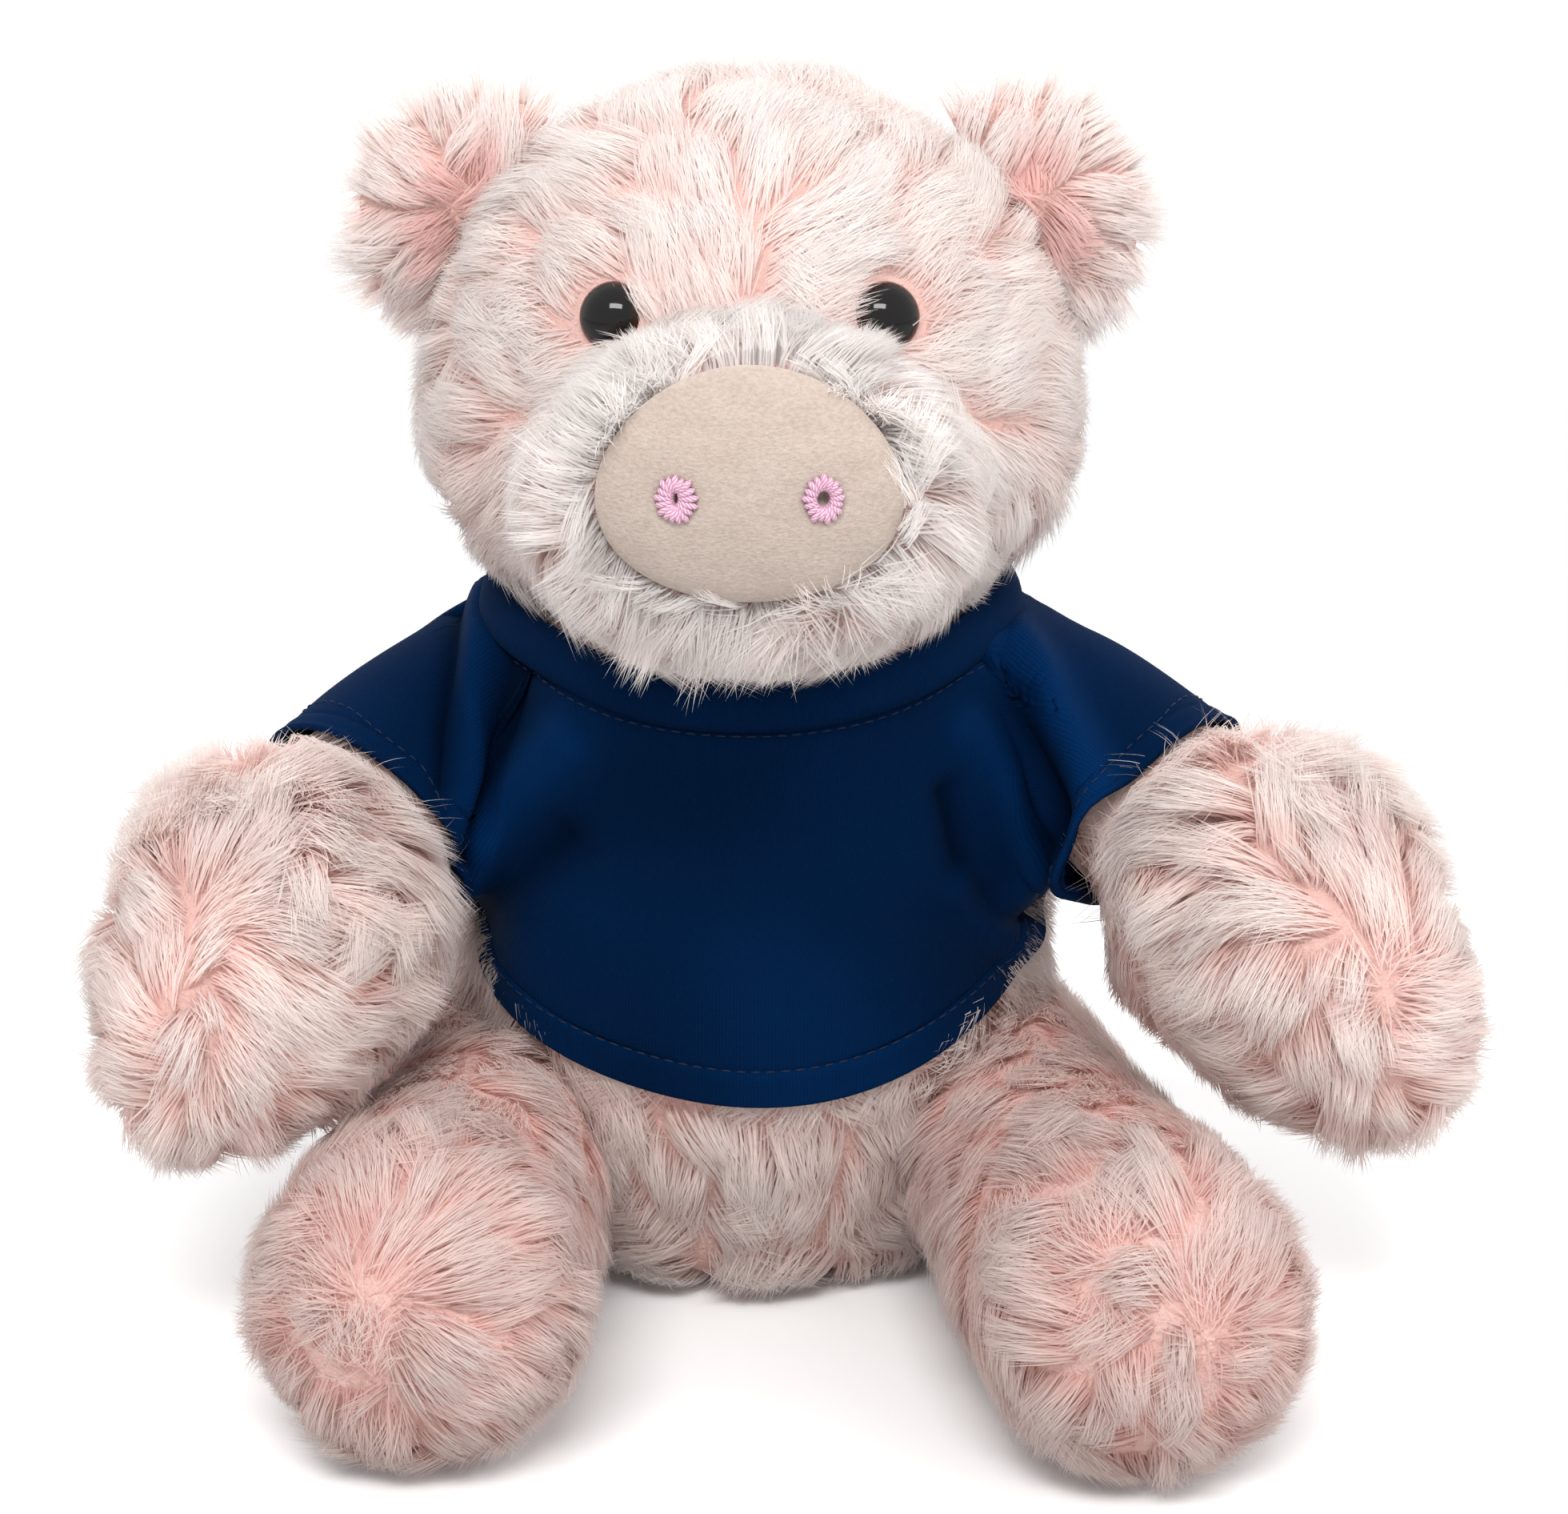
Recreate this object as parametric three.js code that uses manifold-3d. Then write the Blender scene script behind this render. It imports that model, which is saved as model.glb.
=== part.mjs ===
// A seated plush pig in a T-shirt, in millimetres: +Z up, the face towards -Y, its own left towards +X.
// Every furry part is a thick skin, which is the knitted backing with its pile, over a core of stuffing.
// Limbs, head, ears and tail hang on sewn seams: each has a round root that turns in a matching hollow.
import * as THREE from "three";
import { LoftGeometry } from "three/addons/geometries/LoftGeometry.js";
import { mergeVertices } from "three/addons/utils/BufferGeometryUtils.js";
import Module from "manifold-3d";

const wasm = await Module();
wasm.setup();

// Fabric and fits
const pileLength = 8; // fur, from the backing to its tips
const backingThick = 1; // knitted backing of the fur
const skinWall = pileLength + backingThick;
const jerseyThick = 1.2; // T-shirt cloth
const jerseyEase = 0.6; // between the fur and the T-shirt
const fitGap = 0.4; // between two pieces that touch
const seamGap = 0.3; // between two panels sewn edge to edge
const stuffingGap = 0.3; // between a skin and its stuffing
const floorCut = 0.5; // how far a soft underside is pressed flat by the floor

// Torso: rings of radius share over height share, from the seat to the neck
const torsoHeight = 131;
const torsoHalfWidth = 56;
const torsoHalfDepth = 50;
const torsoOutlineShares = [
  [0.6, 0], [0.82, 0.04], [0.94, 0.13], [1, 0.33], [0.985, 0.54],
  [0.95, 0.7], [0.9, 0.84], [0.85, 0.93], [0.74, 1],
];

// Head: an egg with its widest ring low down, and the furry muzzle on it
const headHalfWidth = 60;
const headHalfDepth = 52;
const headRise = 62; // from the widest ring to the crown
const headDrop = 44; // from the widest ring to the chin
const headSink = 10; // how far the chin sits in the neck of the torso
const headForward = 4;

const muzzleHalfWidth = 39;
const muzzleHalfHeight = 29;
const muzzleReach = 31; // in front of the face
const muzzleHeightShare = -0.09; // of headDrop, from the widest ring
const muzzleOutlineShares = [[0.9, 0], [1, 0.35], [0.98, 0.6], [0.9, 0.84], [0.74, 1]];
const muzzleLift = 9; // how far its front end is raised
const muzzleRootShare = 0.55; // of headHalfDepth: where its buried end starts

// Snout disc and its two stitched nostrils
const snoutHalfWidth = 25.5;
const snoutHalfHeight = 19.5;
const snoutThick = 7.5;
const snoutRiseShare = 0.46; // of muzzleHalfHeight, above the muzzle's middle
const nostrilSpacing = 23.4;
const nostrilHalfWidth = 3.2;
const nostrilHalfHeight = 3.8;
const nostrilThread = 1.1;
const nostrilDropShare = 0.03; // of snoutHalfHeight, below the snout's middle

// Safety eyes: a dome with a stem through the skin, and a lock washer behind it
const eyeDiameter = 12;
const eyeDome = 5;
const eyeSpacing = 49;
const eyeRiseShare = 0.45; // of headRise, above the widest ring
const eyeSunk = 3.6; // below the tips of the fur
const stemDiameter = 4;
const stemPast = 3.4; // beyond the inside of the skin
const washerDiameter = 14;
const washerThick = 1.4;

// Ears: lens-shaped flaps, hinged on a straight root
const earHalfBase = 25;
const earReach = 23;
const earRootRadius = 4.6;
const earLeanDegrees = 28; // of the ear's axis above level
const earSideShare = 0.83; // of headHalfWidth
const earRiseShare = 0.57; // of headRise
const earSetBackShare = 0.06; // of headHalfDepth
const earSwing = 20; // degrees each way

// Arms and legs: a round root, a swell and a rounded end along a bent spine
const armRootRadius = 19.5;
const pawRadius = 29.5;
const armSwellShares = [0.29, 0.52]; // of the arm's length: where it starts to swell, and its widest place
const shoulderSideShare = 0.893; // of torsoHalfWidth
const shoulderHeightShare = 0.79; // of torsoHeight
const armMouthRadius = 7; // where the stuffing goes in
const armRaise = 35; // degrees
// From the shoulder, as out, forwards and down: the bend of the spine, then the tip of the paw
const leftArmBend = [38, 28, 8];
const leftArmTip = [69, 70, 52];
const rightArmBend = [33, 29, 11];
const rightArmTip = [49, 84, 48];

const legRootRadius = 25;
const footRadius = 29;
const legSwellShares = [0.22, 0.74]; // of the leg's length
const hipSideShare = 0.84; // of torsoHalfWidth
const hipForwardShare = 0.2; // of torsoHalfDepth
const legMouthRadius = 10;
const toeSeamShare = 0.7; // of the leg's length: where the foot is sewn on
const legLift = 15; // degrees
const legLiftLean = 30; // degrees from straight up towards the other leg: the way that a lifted foot goes
// From the hip, as out and forwards: the tip of the foot
const leftLegTip = [27, 109];
const rightLegTip = [14, 105];

// Tail: a thin stuffed tube in a loose curl
const tailRadius = 3.5;
const tailRootRadius = 5;
const tailCurl = 7; // radius of the curl
const tailLength = 19; // how far the curl stands off the back
const tailHeightShare = 0.24; // of torsoHeight
const tailTurns = 1.1;
const tailCurlShare = 0.45; // of the tail's length: where the curl is full
const tailSwing = 25; // degrees each way

// T-shirt: raglan sleeves, a neckband and a hem that rises towards the sides
const sleeveShare = 0.32; // of the arm's length
const raglanTopShare = 0.68; // of torsoHalfWidth, at the neckband
const raglanFootShare = 1.02; // of torsoHalfWidth, at the armpit
const armpitHeightShare = 0.655; // of torsoHeight
const hemFrontShare = 0.36; // of torsoHeight
const hemSideShare = 0.58;
const hemBackShare = 0.46;
const neckSeamFrontShare = 0.885; // of torsoHeight
const neckSeamSideShare = 0.98; // and all round the back
const armpitFillet = 8; // how softly the cloth bridges from the body to the arms
const shoulderFillet = 16;
const neckbandHeight = 8.5;
const neckbandLean = 2.5; // how far its top edge leans in
const neckbandThick = 2;
const foldWidth = 5;
const panelOverlap = 4; // how far a panel is made past its seams before it is trimmed
// Folds that stand out from the front of the cloth, each from place to place by way of others.
// The places are shares of torsoHalfWidth across and of torsoHeight up; the last number is the fold's rise.
const foldShares = [
  { rise: 3, places: [[0.74, 0.97], [0.98, 0.87], [1.14, 0.76], [1.1, 0.67], [0.98, 0.62]] },
  { rise: 2, places: [[0.68, 0.86], [0.86, 0.74], [0.92, 0.64]] },
  { rise: 3, places: [[-0.58, 0.85], [-0.72, 0.77], [-0.86, 0.68], [-0.93, 0.63]] },
  { rise: 2, places: [[-0.86, 0.98], [-0.9, 0.9], [-0.9, 0.8], [-0.92, 0.7]] },
];

// How finely the forms are faceted
const limbSides = 12;
const limbRings = 5;
const capRings = 3;
const tipShare = 0.93; // of the quarter turn that rounds off a limb: its last ring
const torsoSides = 20;
const torsoRings = 8;
const headSides = 20;
const headRings = 10;
const coreSides = 10;
const coreRings = 5;
const socketSides = 12;
const seamSides = 12; // around the small sewn parts
const panelAcross = 22;
const panelUp = 10;
const sleeveAround = 24;
const sleeveAlong = 6;
const searchSteps = 20; // halvings, when a place on the cloth is looked for
const overrun = 100; // how far a cutting block runs past what it cuts

const degree = Math.PI / 180;
const up = new THREE.Vector3(0, 0, 1);
const sides = { left: 1, right: -1 };

// Solids

function solidOf(geometry) {
  const bare = new THREE.BufferGeometry();
  bare.setAttribute("position", geometry.getAttribute("position").clone());
  if (geometry.index) bare.setIndex(geometry.index.clone());
  const merged = mergeVertices(bare);
  const index = new Uint32Array(merged.index.array);
  const build = () => new wasm.Manifold(new wasm.Mesh({
    numProp: 3,
    vertProperties: merged.attributes.position.array,
    triVerts: index,
  }));
  const solid = build();
  if (solid.volume() > 0) return solid;
  for (let i = 0; i < index.length; i += 3) [index[i + 1], index[i + 2]] = [index[i + 2], index[i + 1]];
  return build();
}

function geometryOf(solid) {
  const mesh = solid.getMesh();
  const geometry = new THREE.BufferGeometry();
  geometry.setAttribute("position", new THREE.BufferAttribute(mesh.vertProperties.slice(), mesh.numProp));
  geometry.setIndex(new THREE.BufferAttribute(mesh.triVerts.slice(), 1));
  geometry.computeVertexNormals();
  return geometry;
}

const joined = (...solids) => solids.reduce((all, next) => all.add(next));
const cut = (solid, ...tools) => tools.reduce((left, tool) => left.subtract(tool), solid);

// A piece of cloth cut to shape, without the scraps that fall off it
function trimmed(solid, ...tools) {
  const parts = cut(solid, ...tools).decompose();
  return parts.reduce((largest, next) => (next.volume() > largest.volume() ? next : largest));
}

// The half of space on the far side of a plane through a point, as a block large enough to cut with
function halfSpace(point, normal) {
  const size = overrun * 4;
  const block = new THREE.BoxGeometry(size, size, size).translate(0, 0, size / 2);
  const turn = new THREE.Quaternion().setFromUnitVectors(up, normal.clone().normalize());
  return solidOf(block.applyQuaternion(turn).translate(point.x, point.y, point.z));
}

// One ring of points, counterclockwise as seen from the end of the form
function ring(centre, across, along, halfAcross, halfAlong, count) {
  return Array.from({ length: count }, (_, i) => {
    const angle = (2 * Math.PI * i) / count;
    return centre.clone()
      .addScaledVector(across, halfAcross * Math.cos(angle))
      .addScaledVector(along, halfAlong * Math.sin(angle));
  });
}

const lofted = (sections) => solidOf(new LoftGeometry(sections, { capStart: true, capEnd: true }));

// A turned form whose profile is given as [radius, height], standing on its own axis and then placed
function turned(profile, origin, axis, count = seamSides) {
  const lathe = new THREE.LatheGeometry(profile.map(([r, h]) => new THREE.Vector2(r, h)), count);
  const upwards = new THREE.Vector3(0, 1, 0);
  const turn = new THREE.Quaternion().setFromUnitVectors(upwards, axis.clone().normalize());
  return solidOf(lathe.applyQuaternion(turn).translate(origin.x, origin.y, origin.z));
}

// The radius at which a faceted ring clears a circle that turns inside it
const around = (radius, count) => radius / Math.cos(Math.PI / count);

// The hollow that a round root turns in: a bowl that flares open by the swing of the limb
function socket(origin, axis, radius, flareDegrees, reach, count = socketSides) {
  const flare = flareDegrees * degree;
  const clear = around(radius, count);
  const steps = capRings * 2;
  const bowl = Array.from({ length: steps + 1 }, (_, i) => {
    const angle = -Math.PI / 2 + ((Math.PI / 2 - flare) * i) / steps;
    return [clear * Math.cos(angle), clear * Math.sin(angle)];
  });
  bowl[0][0] = 0;
  const [rimRadius, rimHeight] = bowl[steps];
  const mouth = rimRadius + (reach - rimHeight) * Math.tan(flare);
  return turned([...bowl, [mouth, reach], [0, reach]], origin, axis, count);
}

// Torso

const torsoOutline = new THREE.SplineCurve(torsoOutlineShares.map((share) => new THREE.Vector2(...share)));

// Forms are grown outwards for what wraps them, and shrunk for what lies inside them
function torsoForm(grow, count = torsoSides, rings = torsoRings) {
  return lofted(torsoOutline.getPoints(rings).map(({ x: radiusShare, y: heightShare }) => ring(
    new THREE.Vector3(0, 0, -grow + (torsoHeight + 2 * grow) * heightShare),
    new THREE.Vector3(1, 0, 0),
    new THREE.Vector3(0, 1, 0),
    torsoHalfWidth * radiusShare + grow,
    torsoHalfDepth * radiusShare + grow,
    count,
  )));
}

// How far a point lies outside the torso, measured level from its middle
const torsoProfile = torsoOutline.getPoints(torsoRings * searchSteps);

function outsideTorso(point) {
  const heightShare = THREE.MathUtils.clamp(point.z / torsoHeight, 0, 1);
  const next = Math.max(1, torsoProfile.findIndex((place) => place.y >= heightShare));
  const [low, high] = [torsoProfile[next - 1], torsoProfile[next]];
  const radiusShare = THREE.MathUtils.mapLinear(heightShare, low.y, high.y, low.x, high.x);
  const share = Math.hypot(point.x / torsoHalfWidth, point.y / torsoHalfDepth) / radiusShare;
  return Math.hypot(point.x, point.y) * (1 - 1 / share);
}

// Head

const headMiddle = new THREE.Vector3(0, -headForward, torsoHeight - headSink + headDrop);

// A ball stretched to the egg-shaped head
function headForm(
  grow, halfWidth = headHalfWidth, halfDepth = headHalfDepth, count = headSides, rings = headRings,
) {
  const ball = new THREE.SphereGeometry(1, count, rings).rotateX(Math.PI / 2);
  const places = ball.attributes.position;
  for (let i = 0; i < places.count; i++) {
    const rise = places.getZ(i) > 0 ? headRise : headDrop;
    places.setXYZ(
      i,
      places.getX(i) * (halfWidth + grow),
      places.getY(i) * (halfDepth + grow),
      places.getZ(i) * (rise + grow),
    );
  }
  return solidOf(ball.translate(...headMiddle.toArray()));
}

// A point on the tips of the fur of the face, and the way out of the fur there
function onFace(side, rise) {
  const share = 1 - (side / headHalfWidth) ** 2 - (rise / headRise) ** 2;
  const forward = headHalfDepth * Math.sqrt(share);
  const point = new THREE.Vector3(side, -forward, rise).add(headMiddle);
  const out = new THREE.Vector3(
    side / headHalfWidth ** 2, -forward / headHalfDepth ** 2, rise / headRise ** 2,
  );
  return { point, out: out.normalize() };
}

const muzzleMiddle = headMiddle.clone().add(new THREE.Vector3(0, 0, headDrop * muzzleHeightShare));
const muzzleFront = headMiddle.y - headHalfDepth - muzzleReach;
const muzzleOutline = new THREE.SplineCurve(muzzleOutlineShares.map((share) => new THREE.Vector2(...share)));

function muzzleForm(grow, count = headSides) {
  const root = headMiddle.y - headHalfDepth * muzzleRootShare;
  return lofted(muzzleOutline.getPoints(coreRings).map(({ x: radiusShare, y: reachShare }) => ring(
    new THREE.Vector3(
      0,
      root + (muzzleFront - grow - root) * reachShare,
      muzzleMiddle.z + muzzleLift * reachShare ** 2,
    ),
    new THREE.Vector3(1, 0, 0),
    up,
    muzzleHalfWidth * radiusShare + grow,
    muzzleHalfHeight * radiusShare + grow,
    count,
  )));
}

const snoutMiddle = new THREE.Vector3(0, muzzleFront, muzzleMiddle.z + muzzleHalfHeight * snoutRiseShare);

function snoutForm(grow) {
  const pad = new THREE.SphereGeometry(1, headSides, capRings * 3);
  pad.rotateX(Math.PI / 2).scale(snoutHalfWidth + grow, snoutThick + grow, snoutHalfHeight + grow);
  return solidOf(pad.translate(...snoutMiddle.toArray()));
}

// A ring of thread that stands on the snout
function nostril(side) {
  const place = new THREE.Vector3((side * nostrilSpacing) / 2, 0, -snoutHalfHeight * nostrilDropShare);
  const share = 1 - (place.x / snoutHalfWidth) ** 2 - (place.z / snoutHalfHeight) ** 2;
  place.y = -snoutThick * Math.sqrt(share);
  const out = new THREE.Vector3(
    place.x / snoutHalfWidth ** 2,
    place.y / snoutThick ** 2,
    place.z / snoutHalfHeight ** 2,
  ).normalize();
  const loop = new THREE.TorusGeometry(1, nostrilThread / nostrilHalfWidth, capRings * 2, seamSides);
  loop.scale(nostrilHalfWidth - nostrilThread, nostrilHalfHeight - nostrilThread, nostrilHalfWidth);
  loop.rotateX(Math.PI / 2);
  loop.applyQuaternion(new THREE.Quaternion().setFromUnitVectors(new THREE.Vector3(0, -1, 0), out));
  place.addScaledVector(out, nostrilThread / 2).add(snoutMiddle);
  return cut(solidOf(loop.translate(place.x, place.y, place.z)), snoutForm(seamGap));
}

// Eyes

function eyeParts(side) {
  const { point, out } = onFace((side * eyeSpacing) / 2, headRise * eyeRiseShare);
  const seat = point.clone().addScaledVector(out, -eyeSunk);
  const radius = eyeDiameter / 2;
  const stem = stemDiameter / 2;
  const rim = washerDiameter / 2;
  const inside = -(skinWall - eyeSunk); // the skin's inner face, along the stem
  const dome = Array.from({ length: capRings + 1 }, (_, i) => {
    const angle = (Math.PI / 2) * (i / capRings);
    return [radius * Math.cos(angle), eyeDome * Math.sin(angle)];
  });
  dome[capRings][0] = 0;
  const eye = turned([[0, inside - stemPast], [stem, inside - stemPast], [stem, 0], ...dome], seat, out);
  const washerTop = inside - seamGap;
  const hole = around(stem + seamGap, seamSides);
  const washer = turned([
    [hole, washerTop - washerThick], [rim, washerTop - washerThick],
    [rim, washerTop], [hole, washerTop], [hole, washerTop - washerThick],
  ], seat, out);
  // The washer presses the inside of the skin flat, and the fur is parted where the dome sits
  const far = skinWall * 2;
  const eyeHole = turned([
    [0, inside - far], [rim + fitGap, inside - far], [rim + fitGap, inside], [hole, inside], [hole, -fitGap],
    [radius + fitGap, -fitGap], [radius + fitGap, far], [0, far],
  ], seat, out);
  const washerRoom = turned([
    [0, inside - stemPast - fitGap], [rim + fitGap, inside - stemPast - fitGap],
    [rim + fitGap, far], [0, far],
  ], seat, out);
  return { eye, washer, eyeHole, washerRoom };
}

// Ears

// The ear's own frame: x along its root, y through its thickness, z out to its tip
function earFrame(side) {
  const lean = earLeanDegrees * degree;
  const tip = new THREE.Vector3(side * Math.cos(lean), 0, Math.sin(lean));
  const along = new THREE.Vector3(side * Math.sin(lean), 0, -Math.cos(lean));
  const through = new THREE.Vector3().crossVectors(tip, along);
  const root = headMiddle.clone().add(new THREE.Vector3(
    side * headHalfWidth * earSideShare,
    headHalfDepth * earSetBackShare,
    headRise * earRiseShare,
  ));
  return { root, tip, along, through };
}

function earLens(frame, halfBase, thickness, reach) {
  const ball = new THREE.SphereGeometry(1, seamSides, seamSides / 2).rotateZ(Math.PI / 2);
  const basis = new THREE.Matrix4().makeBasis(frame.along, frame.through, frame.tip).setPosition(frame.root);
  return solidOf(ball.scale(halfBase, thickness, reach).applyMatrix4(basis));
}

// A flap beyond the root line, and a spindle about that line, on which it turns
function earForm(side) {
  const frame = earFrame(side);
  const flap = earLens(frame, earHalfBase, earRootRadius, earReach);
  const inwards = halfSpace(frame.root, frame.tip.clone().negate());
  return joined(cut(flap, inwards), earLens(frame, earHalfBase, earRootRadius, earRootRadius));
}

// The groove for the spindle, which opens wider beyond the root line for the flap to swing
function earGroove(side) {
  const frame = earFrame(side);
  const clear = around(earRootRadius + fitGap, seamSides);
  const snug = earLens(frame, earHalfBase + clear - earRootRadius, clear, clear);
  const open = clear / Math.cos(earSwing * degree) + earReach * Math.tan(earSwing * degree);
  const flare = earLens(frame, earHalfBase + clear - earRootRadius, open, earReach);
  return joined(snug, cut(flare, halfSpace(frame.root, frame.tip.clone().negate())));
}

// The two fabric panels of an ear, sewn together round its edge
function earPanels(side) {
  const whole = earForm(side);
  const { root, through } = earFrame(side);
  const forwards = through.clone().multiplyScalar(-Math.sign(through.y));
  const half = forwards.clone().multiplyScalar(seamGap / 2);
  return {
    front: cut(whole, halfSpace(root.clone().add(half), forwards.clone().negate())),
    back: cut(whole, halfSpace(root.clone().sub(half), forwards)),
  };
}

// Limbs

// A point and a frame on a spine, which runs on straight past both its ends
function spineAt(limb, distance) {
  const share = THREE.MathUtils.clamp(distance / limb.length, 0, 1);
  const tangent = limb.spine.getTangentAt(share);
  const point = limb.spine.getPointAt(share).addScaledVector(tangent, distance - share * limb.length);
  const across = new THREE.Vector3().crossVectors(tangent, up).normalize();
  const along = new THREE.Vector3().crossVectors(tangent, across);
  return { point, tangent, across, along };
}

// The radius at a distance from the pivot: it swells smoothly to the widest place, and then rounds off
function limbRadius(limb, distance, grow) {
  const [swell, widest] = limb.swellShares.map((share) => share * limb.length);
  if (distance < widest) {
    const swollen = THREE.MathUtils.smoothstep(distance, swell, widest);
    return limb.rootRadius + grow + (limb.endRadius - limb.rootRadius) * swollen;
  }
  const share = (distance - widest) / (limb.length + grow - widest);
  return (limb.endRadius + grow) * Math.sqrt(Math.max(0, 1 - share ** 2));
}

function limbForm(limb, grow, count = limbSides, rings = limbRings) {
  const root = limb.rootRadius + grow;
  const widest = limb.length * limb.swellShares[1];
  const distances = [];
  for (let i = 0; i < rings; i++) distances.push((widest * i) / rings);
  for (const share of [...Array.from({ length: rings }, (_, i) => i / rings), tipShare]) {
    distances.push(widest + (limb.length + grow - widest) * Math.sin((Math.PI / 2) * share));
  }
  const stations = distances.map((distance) => [distance, limbRadius(limb, distance, grow)]);
  for (let i = capRings - 1; i > 0; i--) {
    const angle = (Math.PI / 2) * (i / capRings);
    stations.unshift([-root * Math.cos(Math.PI / 2 - angle), root * Math.sin(Math.PI / 2 - angle)]);
  }
  stations.sort((a, b) => a[0] - b[0]);
  return lofted(stations.map(([distance, radius]) => {
    const { point, across, along } = spineAt(limb, distance);
    return ring(point, across, along, radius, radius, count);
  }));
}

// What fills a limb, with the neck through which it is filled before it is sewn on
function limbCore(limb, grow) {
  const { point, tangent } = spineAt(limb, 0);
  const mouth = limb.mouthRadius + grow;
  const neck = turned([[0, -overrun], [mouth, -overrun], [mouth, 0], [0, 0]], point, tangent, coreSides);
  return joined(limbForm(limb, grow - skinWall, coreSides, coreRings - 1), neck);
}

// How far a point lies outside a limb, by the nearest of close places on its spine
function outsideLimb(limb, point) {
  let [nearest, outside] = [Infinity, 0];
  for (const { place, radius } of limb.places) {
    const away = place.distanceTo(point);
    if (away < nearest) [nearest, outside] = [away, away - radius];
  }
  return outside;
}

function limb(pivot, spine, sizes) {
  const made = { pivot, spine, length: spine.getLength(), ...sizes };
  made.places = Array.from({ length: searchSteps * 2 }, (_, i) => {
    const distance = (made.length * made.swellShares[1] * i) / (searchSteps * 2);
    return { place: spineAt(made, distance).point, radius: limbRadius(made, distance, 0) };
  });
  return made;
}

function arm(side, bend, tip) {
  const shoulder = new THREE.Vector3(
    side * torsoHalfWidth * shoulderSideShare,
    0,
    torsoHeight * shoulderHeightShare,
  );
  const place = ([out, forwards, down]) => (
    shoulder.clone().add(new THREE.Vector3(side * out, -forwards, -down))
  );
  return limb(shoulder, new THREE.QuadraticBezierCurve3(shoulder, place(bend), place(tip)), {
    rootRadius: armRootRadius,
    endRadius: pawRadius,
    swellShares: armSwellShares,
    mouthRadius: armMouthRadius,
  });
}

function leg(side, tip) {
  const hip = new THREE.Vector3(
    side * torsoHalfWidth * hipSideShare,
    -torsoHalfDepth * hipForwardShare,
    footRadius - floorCut,
  );
  const toe = hip.clone().add(new THREE.Vector3(side * tip[0], -tip[1], 0));
  return limb(hip, new THREE.LineCurve3(hip, toe), {
    rootRadius: legRootRadius,
    endRadius: footRadius,
    swellShares: legSwellShares,
    mouthRadius: legMouthRadius,
  });
}

const arms = {
  left: arm(sides.left, leftArmBend, leftArmTip),
  right: arm(sides.right, rightArmBend, rightArmTip),
};
const legs = { left: leg(sides.left, leftLegTip), right: leg(sides.right, rightLegTip) };

// An arm is raised about a level line that runs fore and aft
function armSocket(name, radius) {
  const axis = new THREE.Vector3(0, -sides[name], 0);
  const middle = spineAt(arms[name], 0).tangent.applyAxisAngle(axis, (armRaise / 2) * degree);
  return socket(arms[name].pivot, middle, radius, armRaise / 2, armRootRadius * 2);
}

// A foot is lifted up and towards the other one
function legSocket(name, radius) {
  const { tangent } = spineAt(legs[name], 0);
  const lean = legLiftLean * degree;
  const inwards = new THREE.Vector3(tangent.y, -tangent.x, 0).multiplyScalar(sides[name]);
  const lift = up.clone().multiplyScalar(Math.cos(lean)).addScaledVector(inwards, Math.sin(lean));
  const axis = new THREE.Vector3().crossVectors(tangent, lift);
  const middle = tangent.clone().applyAxisAngle(axis, (legLift / 2) * degree);
  return socket(legs[name].pivot, middle, radius, legLift / 2, legRootRadius * 2);
}

// Tail

const tailRoot = new THREE.Vector3(0, torsoHalfDepth, torsoHeight * tailHeightShare);

class Curl extends THREE.Curve {
  getPoint(share) {
    const angle = 2 * Math.PI * tailTurns * share;
    const curl = tailCurl * THREE.MathUtils.smoothstep(share, 0, tailCurlShare);
    return new THREE.Vector3(
      curl * Math.sin(angle),
      tailLength * share,
      curl * (1 - Math.cos(angle)),
    ).add(tailRoot);
  }
}

function tailForm() {
  const section = new THREE.Shape().absarc(0, 0, tailRadius, 0, 2 * Math.PI);
  const tube = new THREE.ExtrudeGeometry(section, {
    steps: limbSides,
    curveSegments: capRings,
    extrudePath: new Curl(),
    bevelEnabled: false,
  });
  const root = new THREE.SphereGeometry(tailRootRadius, seamSides, seamSides / 2);
  return joined(solidOf(tube), solidOf(root.translate(...tailRoot.toArray())));
}

// T-shirt

const hugging = Object.values(arms);

// How far a point lies outside what the T-shirt wraps, with the armpits bridged softly
function outsideBody(point) {
  let nearest = outsideTorso(point);
  for (const next of hugging) {
    const other = outsideLimb(next, point);
    const above = THREE.MathUtils.smoothstep(point.z, next.pivot.z, next.pivot.z + next.rootRadius);
    const fillet = THREE.MathUtils.lerp(armpitFillet, shoulderFillet, above);
    const bridge = Math.max(fillet - Math.abs(nearest - other), 0) / fillet;
    nearest = Math.min(nearest, other) - (bridge ** 2 * fillet) / 4;
  }
  return nearest;
}

const foldLines = foldShares.map(({ rise, places }) => ({
  rise,
  line: new THREE.SplineCurve(places.map(
    ([across, height]) => new THREE.Vector2(across * torsoHalfWidth, height * torsoHeight),
  )).getPoints(searchSteps),
}));

// The rise of the folds at a point on the front of the cloth
function foldAt(point) {
  if (point.y > 0) return 0;
  const seen = new THREE.Vector2(point.x, point.z);
  return foldLines.reduce((total, { rise, line }) => {
    const away = Math.min(...line.map((place) => place.distanceTo(seen)));
    return total + rise * Math.exp(-((away / foldWidth) ** 2));
  }, 0);
}

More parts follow.
